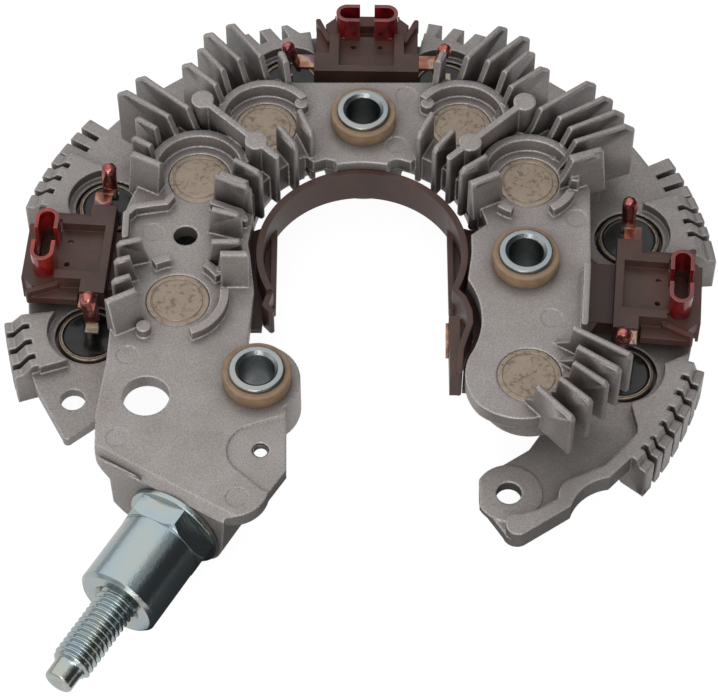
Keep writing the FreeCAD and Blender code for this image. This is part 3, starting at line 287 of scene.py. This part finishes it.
def cast_aluminium(name, face, dark, light, metal, rough):
    """Blasted casting: cloudy tone, dark fine pits, dust and painted shade in corners, worn edges
    with painted highlight.
    """
    material, tree, shader, vector = start_material(name, metallic=metal)
    grain = place(tree, grain_group, {"Vector": vector, "Pit size": CAST_PIT})
    corner = place(tree, corner_group, {"Radius": CAST_EDGE_R, "Gain": 4.6})
    dust_and_shade = place(tree, dust_and_shade_group, {"Vector": vector, "Reach": FIN_GAP, "Amount": 0.95})
    fleck = grain.outputs["Fleck"]
    tone = blend_colours(tree, remap(tree, grain.outputs["Cloud"], 0.3, 0.7), dark, face)
    speckle = remap(tree, fleck, 0.32, 0.68, 0.78, 1.16)
    tone = blend_colours(tree, 1.0, tone, speckle, "MULTIPLY")
    # Dust and painted shade: corners found by ambient occlusion are darkened brown.
    tone = blend_colours(tree, dust_and_shade.outputs["Mask"], tone, colour(58, 50, 46))
    # Wear and painted highlight: corners are lightened unevenly towards the light tone.
    uneven = remap(tree, fleck, 0.36, 0.62, 0.25, 1.0)
    wear_and_highlight = math_node(tree, "MULTIPLY", corner.outputs["Mask"], uneven)
    tree.links.new(blend_colours(tree, wear_and_highlight, tone, light), shader.inputs["Base Color"])
    roughen(tree, shader, fleck, rough + 0.10, rough - 0.08)
    emboss(tree, shader, grain.outputs["Height"], 0.6, 0.06 * MM, corner.outputs["Normal"])
    return material


upper_metal = cast_aluminium(
    "cast_aluminium", colour(168, 161, 157), colour(153, 145, 141), colour(238, 233, 229),
    0.5, 0.38)
lower_metal = cast_aluminium(
    "cast_aluminium_lower", colour(162, 155, 151), colour(148, 141, 137), colour(228, 223, 219),
    0.5, 0.38)
cut_metal = cast_aluminium(
    "cut_aluminium", colour(228, 226, 223), colour(206, 204, 200), colour(246, 244, 242), 0.7, 0.24)
print("castings:", upper_metal.name, lower_metal.name, "and bare cut metal:", cut_metal.name)

# %% [markdown]
# ## Brown moulding
#
# The terminal block is a dark brown filled plastic. It is satin and a little blotchy, and its
# corners get a painted highlight. Lacquer sprayed on the clips has drifted onto the block around
# them, so a red tint grows with the distance from the rotor axis.

# %% Moulded plastic
SPRAY_START, SPRAY_FULL = 56.0 * MM, 64.0 * MM


def moulded(name, face, dark, light, rough):
    """Satin plastic with faint flow marks, tiny bumps, painted highlight on corners and drifted
    lacquer.
    """
    material, tree, shader, vector = start_material(name, specular_ior_level=0.45)
    corner = place(tree, corner_group, {"Radius": 0.25 * MM, "Gain": 2.2})
    flow = noise(tree, vector, 140.0, Detail=4.0, Roughness=0.65)
    skin = noise(tree, vector, 2600.0, Detail=2.0)
    tone = blend_colours(tree, remap(tree, flow, 0.35, 0.65), dark, face)
    # Painted highlight: corners lightened towards the light tone.
    edge = math_node(tree, "MULTIPLY", corner.outputs["Mask"], 0.4)
    tone = blend_colours(tree, edge, tone, light)
    near_clips = remap(tree, axis_distance(tree, vector), SPRAY_START, SPRAY_FULL)
    patchy = remap(tree, flow, 0.36, 0.66, 0.04, 0.5)
    spray = math_node(tree, "MULTIPLY", near_clips, patchy)
    tone = blend_colours(tree, spray, tone, colour(84, 18, 18))
    tree.links.new(tone, shader.inputs["Base Color"])
    roughen(tree, shader, flow, rough - 0.06, rough + 0.08)
    emboss(tree, shader, skin, 0.25, 0.03 * MM, corner.outputs["Normal"])
    return material


moulding = moulded(
    "brown_moulding", colour(86, 63, 55), colour(69, 48, 41), colour(128, 98, 86), 0.40)
print("moulding:", moulding.name)

# %% [markdown]
# ## Tan bushes
#
# The insulating bushes are a tan resin that light enters a little way, so they look deeper in
# colour at the side and paler on top. Painted shade darkens their corners and a painted highlight
# lightens their edges.

# %% Tan resin
bush_resin, tree, shader, vector = start_material(
    "tan_bush", roughness=0.42, subsurface_weight=0.25, subsurface_scale=1.5 * MM)
mottle = noise(tree, vector, 420.0, Detail=4.0, Roughness=0.6)
corner = place(tree, corner_group, {"Radius": 0.4 * MM, "Gain": 2.0})
corner_shade = place(tree, dust_and_shade_group, {"Vector": vector, "Reach": 2.0 * MM, "Amount": 0.9})
share = remap(tree, mottle, 0.35, 0.65)
tone = blend_colours(tree, share, colour(136, 110, 84), colour(154, 128, 102))
# Painted shade: corners found by ambient occlusion darken to brown.
tone = blend_colours(tree, corner_shade.outputs["Mask"], tone, colour(72, 54, 38))
# Painted highlight: edges lightened to a pale tan.
edge = math_node(tree, "MULTIPLY", corner.outputs["Mask"], 0.5)
tone = blend_colours(tree, edge, tone, colour(196, 172, 146))
tree.links.new(tone, shader.inputs["Base Color"])
emboss(tree, shader, mottle, 0.3, 0.04 * MM, corner.outputs["Normal"])
print("bushes:", bush_resin.name)

# %% [markdown]
# ## Zinc plate
#
# The stud, nut, washer and sleeves are steel with bright bluish zinc. The nut was turned in a
# lathe, so fine rings run round its axis: noise that changes quickly along the axis and hardly
# at all across it. A Mapping node stretches the pattern, once it is turned onto the stud's axis.

# %% Zinc plated steel
STUD_AZIMUTH = math.radians(-120.7)
STUD_HEIGHT = 11.7 * MM
STUD_SIDE = 0.4 * MM
ALONG, ACROSS = 1.0, 0.03
stud_foot = np.array([-STUD_SIDE * math.cos(STUD_AZIMUTH + math.pi / 2),
                      -STUD_SIDE * math.sin(STUD_AZIMUTH + math.pi / 2), STUD_HEIGHT])


def zinc_plate(name, on_stud, face, tint, rough, rings):
    """Bright zinc: bluish, with a faint yellow tint in patches and lathe rings; painted shade
    darkens the sleeves' recesses.
    """
    material, tree, shader, vector = start_material(name, metallic=1.0)
    corner = place(tree, corner_group, {"Radius": 0.2 * MM, "Gain": 2.0})
    stretch = (ACROSS, ACROSS, ALONG)
    if on_stud:
        moved = add(tree, "ShaderNodeVectorMath", {0: vector, 1: tuple(stud_foot)},
                    operation="SUBTRACT")
        turned = {"Vector": moved.outputs[0], "Angle": -STUD_AZIMUTH}
        vector = add(tree, "ShaderNodeVectorRotate", turned, rotation_type="Z_AXIS").outputs[0]
        stretch = (ALONG, ACROSS, ACROSS)
    lathe = add(tree, "ShaderNodeMapping", {"Vector": vector, "Scale": stretch},
                vector_type="POINT")
    ring = noise(tree, lathe.outputs[0], 5200.0, Detail=3.0, Roughness=0.7)
    patch = noise(tree, vector, 170.0, Detail=3.0)
    tone = blend_colours(tree, remap(tree, patch, 0.42, 0.66), face, tint)
    # Painted shade: recesses found by ambient occlusion turn dark grey on the sleeves; the stud
    # gets none.
    recess_shade = place(tree, dust_and_shade_group,
                 {"Vector": vector, "Reach": 6.0 * MM, "Amount": 0.0 if on_stud else 1.6})
    tone = blend_colours(tree, recess_shade.outputs["Mask"], tone, colour(70, 76, 78))
    tree.links.new(tone, shader.inputs["Base Color"])
    ringed = remap(tree, ring, 0.3, 0.7, rough - 0.02, rough + 0.05)
    duller = math_node(tree, "MULTIPLY", recess_shade.outputs["Mask"], 0.15)
    tree.links.new(math_node(tree, "ADD", ringed, duller), shader.inputs["Roughness"])
    speck = noise(tree, vector, 2300.0, Detail=2.0, Roughness=0.5)
    height = math_node(tree, "ADD", math_node(tree, "MULTIPLY", ring, rings), speck)
    emboss(tree, shader, height, 1.0, 0.04 * MM, corner.outputs["Normal"])
    return material


stud_zinc = zinc_plate(
    "zinc_steel", True, colour(174, 187, 191), colour(186, 188, 178), 0.20, 0.35)
sleeve_zinc = zinc_plate(
    "zinc_sleeve", False, colour(162, 168, 171), colour(174, 174, 170), 0.27, 0.2)
print("zinc:", stud_zinc.name, sleeve_zinc.name)

# %% [markdown]
# ## Diode metal and resin
#
# The diode cups are plated with a warm champagne nickel. Stamping and handling leave the bases
# mottled with small dark dents. The mouths of the lower diodes are filled with glossy black
# resin.

# %% Nickel and potting resin
nickel, tree, shader, vector = start_material("diode_nickel", metallic=0.85)
corner = place(tree, corner_group, {"Radius": 0.2 * MM, "Gain": 2.5})
dents = noise(tree, vector, 950.0, Detail=2.5, Roughness=0.55, Distortion=0.6)
patch = noise(tree, vector, 210.0, Detail=2.0)
mark = math_node(tree, "MULTIPLY", remap(tree, dents, 0.53, 0.63), remap(tree, patch, 0.38, 0.56))
tone = blend_colours(tree, patch, colour(172, 156, 140), colour(150, 134, 118))
tone = blend_colours(tree, math_node(tree, "MULTIPLY", mark, 0.5), tone, colour(104, 86, 70))
# Painted highlight: corners lightened to a pale champagne.
edge = math_node(tree, "MULTIPLY", corner.outputs["Mask"], 0.6)
tone = blend_colours(tree, edge, tone, colour(222, 210, 196))
tree.links.new(tone, shader.inputs["Base Color"])
roughen(tree, shader, dents, 0.34, 0.50)
emboss(tree, shader, mark, 0.35, 0.08 * MM, corner.outputs["Normal"], invert=True)

resin, tree, shader, vector = start_material(
    "black_potting", coat_weight=0.3, coat_roughness=0.06, specular_ior_level=0.35)
swirl = noise(tree, vector, 330.0, Detail=3.0)
tone = blend_colours(tree, swirl, colour(12, 12, 12), colour(24, 23, 21))
tree.links.new(tone, shader.inputs["Base Color"])
roughen(tree, shader, swirl, 0.16, 0.34)
emboss(tree, shader, swirl, 0.3, 0.2 * MM)
print("diodes:", nickel.name, resin.name)

# %% [markdown]
# ## Lacquered copper
#
# The winding clips are copper strip under red lacquer, more orange on the left block and deeper
# red on the other two. The lacquer is thin on the corners, where pink copper shows and a painted
# highlight lightens them, and it ends short of the weld tabs, which are bare and heat-tinted. The
# lower diodes' leads are tinted too, down to a tinned foot.

# %% Lacquer, leads and heat tint
BARE_WITHIN, LACQUER_FROM = 60.6 * MM, 61.8 * MM
TIN_BELOW, TINT_FROM = 12.4 * MM, 13.6 * MM


def lacquered(name, face, deep, edge_tone):
    """Glossy red lacquer, uneven and thin on corners, where a painted highlight lightens it, over
    copper left bare near the tabs.
    """
    material, tree, shader, vector = start_material(name, coat_weight=0.9, coat_roughness=0.08)
    corner = place(tree, corner_group, {"Radius": 0.3 * MM, "Gain": 2.4})
    runs = noise(tree, vector, 300.0, Detail=3.0, Distortion=0.8)
    tone = blend_colours(tree, remap(tree, runs, 0.35, 0.65), deep, face)
    # Thin lacquer and painted highlight: corners lightened towards the edge tone.
    edge = math_node(tree, "MULTIPLY", corner.outputs["Mask"], 0.75)
    tone = blend_colours(tree, edge, tone, edge_tone)
    bare = remap(tree, axis_distance(tree, vector), LACQUER_FROM, BARE_WITHIN)
    copper = place(tree, heat_group, {"Vector": vector})
    tone = blend_colours(tree, bare, tone, copper.outputs["Colour"])
    tree.links.new(tone, shader.inputs["Base Color"])
    tree.links.new(remap(tree, bare, 0.0, 1.0, 0.12, 0.85), shader.inputs["Metallic"])
    roughen(tree, shader, runs, 0.24, 0.42)
    emboss(tree, shader, runs, 0.3, 0.12 * MM, corner.outputs["Normal"])
    return material


orange_red = lacquered(
    "red_lacquered_copper_left", colour(160, 32, 22), colour(104, 14, 14), colour(232, 118, 78))
deep_red = lacquered(
    "red_lacquered_copper", colour(132, 20, 26), colour(84, 8, 13), colour(214, 112, 104))

lead_copper, tree, shader, vector = start_material("copper_lead", metallic=0.9)
corner = place(tree, corner_group, {"Radius": 0.2 * MM, "Gain": 2.0})
heat = place(tree, heat_group, {"Vector": vector, "Scale": 210.0})
height = add(tree, "ShaderNodeSeparateXYZ", {0: vector}).outputs["Z"]
tinned = remap(tree, height, TINT_FROM, TIN_BELOW)
tone = blend_colours(tree, tinned, heat.outputs["Colour"], colour(170, 162, 148))
tree.links.new(tone, shader.inputs["Base Color"])
roughen(tree, shader, heat.outputs["Share"], 0.22, 0.36)
tree.links.new(corner.outputs["Normal"], shader.inputs["Normal"])
print("copper:", orange_red.name, deep_red.name, lead_copper.name)

# %% [markdown]
# ## Silicon
#
# The chips are sealed inside and never seen, but they get the grey of polished silicon.

# %% Silicon chips
silicon, tree, shader, vector = start_material("silicon", metallic=0.4)
facets = noise(tree, vector, 900.0)
tone = blend_colours(tree, facets, colour(84, 86, 92), colour(104, 106, 112))
tree.links.new(tone, shader.inputs["Base Color"])
tree.links.new(remap(tree, facets, 0.0, 1.0, 0.2, 0.3), shader.inputs["Roughness"])
print("chips:", silicon.name)

# %% [markdown]
# ## Dressing the solids
#
# Each solid is named for what it is, so its name picks its material.

# %% Give each solid its material
def dress(name):
    """Material of a solid, chosen by what its name says it is."""
    starts = (("positive_heat_sink", upper_metal), ("negative_heat_sink", lower_metal),
              ("terminal_block", moulding), ("slip_ring_shroud", moulding),
              ("phase_terminal_1", orange_red), ("phase_terminal_2", orange_red),
              ("phase_terminal", deep_red), ("regulator", deep_red),
              ("rivet_sleeve", sleeve_zinc), ("insulator_bush", bush_resin))
    endings = (("_cup", nickel), ("_lead", lead_copper), ("_potting", resin), ("_chips", silicon))
    for start, material in starts:
        if name.startswith(start):
            return material
    for ending, material in endings:
        if name.endswith(ending):
            return material
    return stud_zinc


for name, node in nodes.items():
    node.data.materials.clear()
    node.data.materials.append(dress(name))
print("dressed", len(nodes), "solids in", len({dress(n).name for n in nodes}), "materials")

# %% [markdown]
# ## The rolled thread
#
# The stud's M8 thread is a screw surface. A point of it has a place along the axis and an angle
# round it, and its radius falls and rises once each pitch of 1.25 mm. Shifting the place by the
# angle's share of a pitch makes the rings a helix. The whole stud is one turned profile, so it
# can stand for the plain solid: a round head in the casting, a shank, the thread, a dog point.

# %% Surface from a grid
def skin_from_grid(name, points, closed_round=True, caps=True, smooth=True):
    """Mesh from points[i, j]: i along the piece, j round it, with flat fans closing both ends."""
    rows, columns = points.shape[:2]
    index = np.arange(rows * columns).reshape(rows, columns)
    right = np.roll(index, -1, axis=1)
    if not closed_round:
        index, right = index[:, :-1], index[:, 1:]
    quads = np.stack([index[:-1], right[:-1], right[1:], index[1:]], axis=-1).reshape(-1, 4)
    faces = [tuple(q) for q in quads.tolist()]
    if caps:
        faces.append(tuple(reversed(range(columns))))
        faces.append(tuple(range((rows - 1) * columns, rows * columns)))
    mesh = bpy.data.meshes.new(name)
    mesh.from_pydata(points.reshape(-1, 3).tolist(), [], faces)
    mesh.polygons.foreach_set("use_smooth", np.full(len(mesh.polygons), smooth))
    obj = bpy.data.objects.new(name, mesh)
    bpy.context.scene.collection.objects.link(obj)
    return obj


def full_turn(steps):
    """Angles of one full turn, as a row, without the last, which is the first again."""
    return np.linspace(0, 2 * math.pi, steps, endpoint=False)[None, :]


print("grid helpers ready")

# %% [markdown]
# Radii and places along the axis are in millimetres from the rotor axis, as on the stud's
# drawing. The thread fades out where it meets the dog point.

# %% Threaded stud
PITCH = 1.25
CREST_R, ROOT_R = 4.0, 3.32
CREST_FLAT, FLANK = 0.10, 0.78
HEAD_START, HEAD_END, HEAD_R = 53.0, 56.0, 6.2
THREAD_START, THREAD_END, FADE = 88.0, 105.8, 1.1
NUT_FACE = 90.1
DOG_R, DOG_CLEARANCE = 2.9, 0.35
DOG_RUN = [105.9, 106.5, 109.1, 109.4, 109.6, 109.7, 109.74, 109.74, 109.2]
DOG_RADII = [3.12, 2.9, 2.88, 2.80, 2.64, 2.42, 2.2, 1.5, 0.25]
SHANK_STEP, THREAD_STEP, CORNER_STEP = 1.0, 0.1042, 0.001


def thread_radius(run, angle):
    """Triangle wave of the place less the angle's share of a pitch, flat at crest and root."""
    phase = np.mod(run / PITCH - angle / (2 * math.pi), 1.0)
    wave = np.abs(2 * phase - 1)
    flank_share = np.clip((wave - CREST_FLAT) / FLANK, 0, 1)
    return ROOT_R + (CREST_R - ROOT_R) * flank_share


def stud_points(run, radius, angle):
    """Points about the stud's axis, turned to its azimuth and moved to its foot, in metres."""
    along, across, up = run * MM, radius * np.cos(angle) * MM, radius * np.sin(angle) * MM
    cos, sin = math.cos(STUD_AZIMUTH), math.sin(STUD_AZIMUTH)
    x = stud_foot[0] + along * cos - across * sin
    y = stud_foot[1] + along * sin + across * cos
    return np.stack([x, y, stud_foot[2] + up], axis=-1)


angle = full_turn(96)
head_run = [HEAD_START, HEAD_START + CORNER_STEP, HEAD_END - CORNER_STEP, HEAD_END,
            HEAD_END + CORNER_STEP]
shank_run = np.arange(HEAD_END + SHANK_STEP, THREAD_START, SHANK_STEP)
thread_run = np.arange(THREAD_START, THREAD_END + 0.01, THREAD_STEP)
run = np.minimum(np.concatenate([head_run, shank_run, thread_run]), THREAD_END)[:, None]
fade = np.clip((THREAD_END - run) / FADE, 0, 1)
faded = DOG_R + DOG_CLEARANCE + (CREST_R - DOG_R) * fade
radius = np.minimum(thread_radius(run, angle), faded)
radius = np.where(run < THREAD_START, ROOT_R, radius)
radius = np.where(run < HEAD_END + CORNER_STEP / 2, HEAD_R, radius)
dog_run, dog_radius = np.array(DOG_RUN)[:, None], np.array(DOG_RADII)[:, None]
whole_run = np.concatenate([run, dog_run])
whole_radius = np.concatenate([radius, dog_radius + 0 * angle])
threaded = skin_from_grid("threaded_stud", stud_points(whole_run, whole_radius, angle))
threaded.data.materials.append(stud_zinc)
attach(threaded, "root")
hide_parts("b_plus_stud")
print("thread turns shown:", round((THREAD_END - NUT_FACE) / PITCH, 1))
print("faces:", len(threaded.data.polygons))

# %% [markdown]
# ## Thread in the small hole
#
# The tapped hole shows two or three turns. A thin screw-shaped lining inside the plain bore
# gives them, with its crests standing inward.

# %% Tapped hole lining
TAP_X, TAP_Y = -19.5, -49.1
TAP_FOOT, TAP_TOP = 19.75, 21.6
TAP_PITCH, TAP_ROOT_R, TAP_DEPTH = 0.7, 1.64, 0.34

angle = -full_turn(64)
height = np.arange(TAP_FOOT, TAP_TOP, TAP_PITCH / 10)[:, None]
phase = np.mod(height / TAP_PITCH + angle / (2 * math.pi), 1.0)
radius = TAP_ROOT_R - TAP_DEPTH * np.abs(2 * phase - 1)
lining = [TAP_X + radius * np.cos(angle), TAP_Y + radius * np.sin(angle), height + 0 * angle]
tapped = skin_from_grid("tapped_thread", np.stack(lining, axis=-1) * MM, caps=False)
tapped.data.materials.append(cut_metal)
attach(tapped, "root")
print("tapped lining:", len(tapped.data.polygons), "faces")

# %% [markdown]
# ## Pocket floor
#
# Beside the round wall, the pocket that holds the regulator's copper face is closed below. A thin
# plate of the same plastic, its outline following the pocket's walls, closes it.

# %% Floor of the pocket
POCKET_OUTLINE = [(19.2, -12.0), (20.0, -12.0), (20.9, -14.6), (21.0, -17.6),
                  (20.1, -20.6), (19.3, -22.6), (19.0, -22.6)]
FLOOR_FOOT, FLOOR_TOP = 12.1, 13.2

outline = np.array(POCKET_OUTLINE[::-1])
rings = [np.column_stack([outline, np.full(len(outline), z)]) for z in (FLOOR_FOOT, FLOOR_TOP)]
pocket_floor = skin_from_grid("pocket_floor", np.stack(rings) * MM, smooth=False)
pocket_floor.data.materials.append(moulding)
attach(pocket_floor, "root")
print("pocket floor:", len(pocket_floor.data.polygons), "faces")

# %% [markdown]
# ## Weld beads
#
# Each lower diode's lead is melted together with a copper tab. The melt draws into a drop: round
# at the top where surface tension pulls it, then running down the tab. One profile gives the
# drop: a half ball, then a taper. Small waves round and along it keep it from looking turned.

# %% Drops of melted copper
BLOCK_ANGLES = [176.0, 89.0, -5.5]
TAB_REACH, CREST_SIDE, CREST_HEIGHT = 53.3 * MM, 16.6 * MM, 21.0 * MM
TAB_LEAN = np.array([2.2, 6.0]) / math.hypot(2.2, 6.0)
UPRIGHT = np.array([0.0, 1.0])
TIP_SHARE = 0.12

bead_copper, tree, shader, vector = start_material("weld_copper", metallic=0.95)
melt = place(tree, heat_group, {"Vector": vector, "Scale": 420.0})
soot = noise(tree, vector, 700.0, Detail=3.0)
tone = blend_colours(tree, 0.3, colour(206, 128, 122), melt.outputs["Colour"])
sooty = math_node(tree, "MULTIPLY", remap(tree, soot, 0.40, 0.64), 0.7)
tone = blend_colours(tree, sooty, tone, colour(116, 50, 54))
tree.links.new(tone, shader.inputs["Base Color"])
roughen(tree, shader, soot, 0.12, 0.28)
emboss(tree, shader, soot, 0.2, 0.1 * MM)


def bead(name, block, side, run_down, ball_r, slope):
    """Drop about a tab or lead: half ball above, taper below; worked out beside the block's axis
    as reach, side and height, then turned by the block's angle."""
    t = np.concatenate([np.linspace(-1.0, -0.2, 9), np.linspace(0, 1, 15)[1:]])[:, None]
    around = full_turn(36)
    below, at_tip = t > 0, t > 0.97
    ball = ball_r * MM
    down = np.where(below, t * run_down * MM, t * ball)
    half_ball = np.sqrt(np.clip(1 - t * t, 0.0004, 1))
    taper = 1 - 0.50 * np.clip(t, 0, 1) ** 1.5
    share = np.where(at_tip, TIP_SHARE, np.where(below, taper, half_ball))
    wave = 1 + 0.045 * np.sin(3 * around + 1.3 * block + 5 * t)
    wave = wave + 0.03 * np.sin(2 * around - 4 * t + side)
    wide = ball * wave * np.where(below & ~at_tip, 1 - 0.06 * t, share)
    thick = ball * wave * share
    reach = TAB_REACH + wide * np.cos(around)
    out = CREST_SIDE - down * slope[0] + thick * np.sin(around) * slope[1]
    high = CREST_HEIGHT - down * slope[1] - thick * np.sin(around) * slope[0]
    turn = math.radians(BLOCK_ANGLES[block])
    x = reach * math.cos(turn) - side * out * math.sin(turn)
    y = reach * math.sin(turn) + side * out * math.cos(turn)
    points = np.stack([x, y, high], axis=-1)
    drop = skin_from_grid(name, points if side > 0 else points[:, ::-1])
    drop.data.materials.append(bead_copper)
    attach(drop, "root")
    return drop


drops = [
    bead("weld_bead_1", 0, 1, 7.4, 1.72, UPRIGHT),
    bead("weld_bead_2", 0, -1, 4.6, 1.55, TAB_LEAN),
    bead("weld_bead_3", 1, 1, 3.4, 1.5, TAB_LEAN),
    bead("weld_bead_4", 1, -1, 3.4, 1.5, TAB_LEAN),
    bead("weld_bead_5", 2, 1, 4.8, 1.55, TAB_LEAN),
    bead("weld_bead_6", 2, -1, 2.6, 1.72, TAB_LEAN)]
print("beads:", len(drops), "each with", len(drops[0].data.polygons), "faces")

# %% [markdown]
# ## Resin at the cup rims
#
# The black resin wets the inside of each lower cup and climbs over most of its rim, so only a
# thin bright line of metal shows. A turned profile, high at the rim and low inward, makes it.

# %% Resin edge
LOWER_DIODE_RING = 56.5
LOWER_DIODE_ANGLES = [193, 159, 106, 72, 12, -23]
CLIMB_R = np.array([5.0, 5.3, 5.55, 5.72, 5.84, 5.95, 6.04, 6.06])[:, None]
CLIMB_HEIGHT = np.array([8.29, 8.34, 8.44, 8.60, 8.76, 8.84, 8.83, 8.74])[:, None]

around = full_turn(72)
for number, azimuth in enumerate(LOWER_DIODE_ANGLES):
    wobble = 1 + 0.006 * np.sin(5 * around + number) + 0.004 * np.sin(9 * around + 2 * number)
    x = LOWER_DIODE_RING * math.cos(math.radians(azimuth)) + CLIMB_R * wobble * np.cos(-around)
    y = LOWER_DIODE_RING * math.sin(math.radians(azimuth)) + CLIMB_R * wobble * np.sin(-around)
    points = np.stack([x, y, CLIMB_HEIGHT + 0 * around], axis=-1) * MM
    edge = skin_from_grid("resin_edge_" + str(number + 1), points, caps=False)
    edge.data.materials.append(resin)
    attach(edge, "root")
print("resin edges:", len(LOWER_DIODE_ANGLES))

# %% [markdown]
# ## Floor
#
# The part lies on white. The floor takes the part's soft shadow. Seen by the camera or in a
# mirror-like face it glows a little of itself, so it reads as white without more lamps; for all
# other light it is a plain grey that throws little up onto the part.

# %% Floor
FLOOR_HALF, FLOOR_DROP = 1.6, 0.1 * MM
GLOW_TO_CAMERA, GLOW_TO_MIRRORS = 0.93, 0.66

floor_corners = [(x, y, -FLOOR_DROP) for x, y in (
    (-FLOOR_HALF, -FLOOR_HALF), (FLOOR_HALF, -FLOOR_HALF),
    (FLOOR_HALF, FLOOR_HALF), (-FLOOR_HALF, FLOOR_HALF))]
floor_mesh = bpy.data.meshes.new("floor")
floor_mesh.from_pydata(floor_corners, [], [(0, 1, 2, 3)])
floor = bpy.data.objects.new("floor", floor_mesh)
bpy.context.scene.collection.objects.link(floor)
floor_look = bpy.data.materials.new("white floor")
floor_look.use_nodes = True
tree = floor_look.node_tree
tree.nodes.clear()
rays = add(tree, "ShaderNodeLightPath")
mirrored = math_node(
    tree, "MAXIMUM", rays.outputs["Is Glossy Ray"], rays.outputs["Is Transmission Ray"])
seen = math_node(tree, "MAXIMUM", rays.outputs["Is Camera Ray"], mirrored)
matt = add(tree, "ShaderNodeBsdfDiffuse", {"Color": (0.30, 0.30, 0.30, 1)})
shown = add(tree, "ShaderNodeBsdfDiffuse", {"Color": (0.16, 0.16, 0.16, 1)})
level = remap(tree, rays.outputs["Is Camera Ray"], 0.0, 1.0, GLOW_TO_MIRRORS, GLOW_TO_CAMERA)
glow = add(tree, "ShaderNodeEmission", {"Color": (1, 1, 1, 1), "Strength": level})
glowing = add(tree, "ShaderNodeAddShader", {0: shown.outputs[0], 1: glow.outputs[0]})
choice = add(tree, "ShaderNodeMixShader", {0: seen, 1: matt.outputs[0], 2: glowing.outputs[0]})
add(tree, "ShaderNodeOutputMaterial", {0: choice.outputs[0]})
floor_mesh.materials.append(floor_look)
print("floor:", 2 * FLOOR_HALF, "m square")

# %% [markdown]
# ## Light
#
# A very large soft box hangs above, behind and to the left; it gives even, clear faces and one
# broad bright side on the zinc. A weaker one fills from the camera's side. A dark card stands at
# the right and lies beside the stud, seen only in mirror-like faces: it draws the dark side of
# the nut, as black card does in a product photograph.

# %% Soft boxes and dark card
CARD_R, CARD_TOP = 0.40, 0.42
STRIP_X, STRIP_Y, STRIP_HEIGHT = [-0.045, 0.41], [-0.128, -0.045], 0.4 * MM


def soft_box(name, place_at, aim, size, power, tint=(1, 1, 1)):
    """Square area lamp facing a point: tilted by its way's slope, turned by its way's heading."""
    data = bpy.data.lights.new(name, "AREA")
    data.shape = "SQUARE"
    data.size = size
    data.energy = power
    data.color = tint
    lamp = bpy.data.objects.new(name, data)
    bpy.context.scene.collection.objects.link(lamp)
    way = np.array(aim) - np.array(place_at)
    flat = math.hypot(way[0], way[1])
    lamp.location = place_at
    lamp.rotation_euler = (math.atan2(flat, -way[2]), 0, math.atan2(-way[0], way[1]))


soft_box("top box", (-0.44, 0.14, 0.98), (0, 0, 0), 2.3, 10.8, (1.0, 0.997, 0.992))
soft_box("front box", (0.02, -0.92, 0.62), (0, 0, 0), 0.9, 5.2)

card_angle = np.radians(np.linspace(-92, 66, 40))[None, :]
card_height = np.array([0.0, CARD_TOP])[:, None]
card_points = np.stack(np.broadcast_arrays(
    CARD_R * np.cos(card_angle), CARD_R * np.sin(card_angle), card_height), axis=-1)
card = skin_from_grid("dark card", card_points, closed_round=False, caps=False)
strip_x, strip_y = np.meshgrid(STRIP_X, STRIP_Y)
strip_points = np.stack([strip_x, strip_y, np.full((2, 2), STRIP_HEIGHT)], axis=-1)
strip = skin_from_grid("dark strip", strip_points, closed_round=False, caps=False)
card_look = bpy.data.materials.new("dark card")
card_look.use_nodes = True
card_shader = card_look.node_tree.nodes["Principled BSDF"]
card_shader.inputs["Base Color"].default_value = (0.05, 0.055, 0.06, 1)
card_shader.inputs["Roughness"].default_value = 1.0
for flag in (card, strip):
    flag.data.materials.append(card_look)
    flag.visible_camera = False
    flag.visible_diffuse = False
    flag.visible_shadow = False
    flag.visible_transmission = False

world = bpy.data.worlds.new("studio")
world.use_nodes = True
sky = world.node_tree.nodes["Background"]
sky.inputs["Color"].default_value = (0.93, 0.97, 1.0, 1)
sky.inputs["Strength"].default_value = 0.38
bpy.context.scene.world = world

# %% [markdown]
# ## Camera
#
# The view was found by fitting a pinhole camera to points on the round plates: it looks along
# +Y, 54.5 degrees down, from 0.58 m, through a long lens.

# %% Camera
ELEVATION = math.radians(54.51)
DISTANCE = 0.5839
ASIDE, ABOVE = 0.000643, 0.008214
FOCAL_PIXELS, PICTURE_WIDTH = 2815.0, 718.0
SENSOR_WIDTH = 36.0

camera_data = bpy.data.cameras.new("camera")
camera_data.sensor_fit = "HORIZONTAL"
camera_data.sensor_width = SENSOR_WIDTH
camera_data.lens = FOCAL_PIXELS / PICTURE_WIDTH * SENSOR_WIDTH
camera_data.clip_start = 0.01
camera = bpy.data.objects.new("camera", camera_data)
bpy.context.scene.collection.objects.link(camera)
camera.location = (-ASIDE,
                   -(ABOVE * math.sin(ELEVATION) + DISTANCE * math.cos(ELEVATION)),
                   -(ABOVE * math.cos(ELEVATION) - DISTANCE * math.sin(ELEVATION)))
camera.rotation_euler = (math.pi / 2 - ELEVATION, 0, 0)
bpy.context.scene.camera = camera
bpy.context.scene.view_settings.view_transform = "Standard"
print("camera at", [round(v, 4) for v in camera.location])
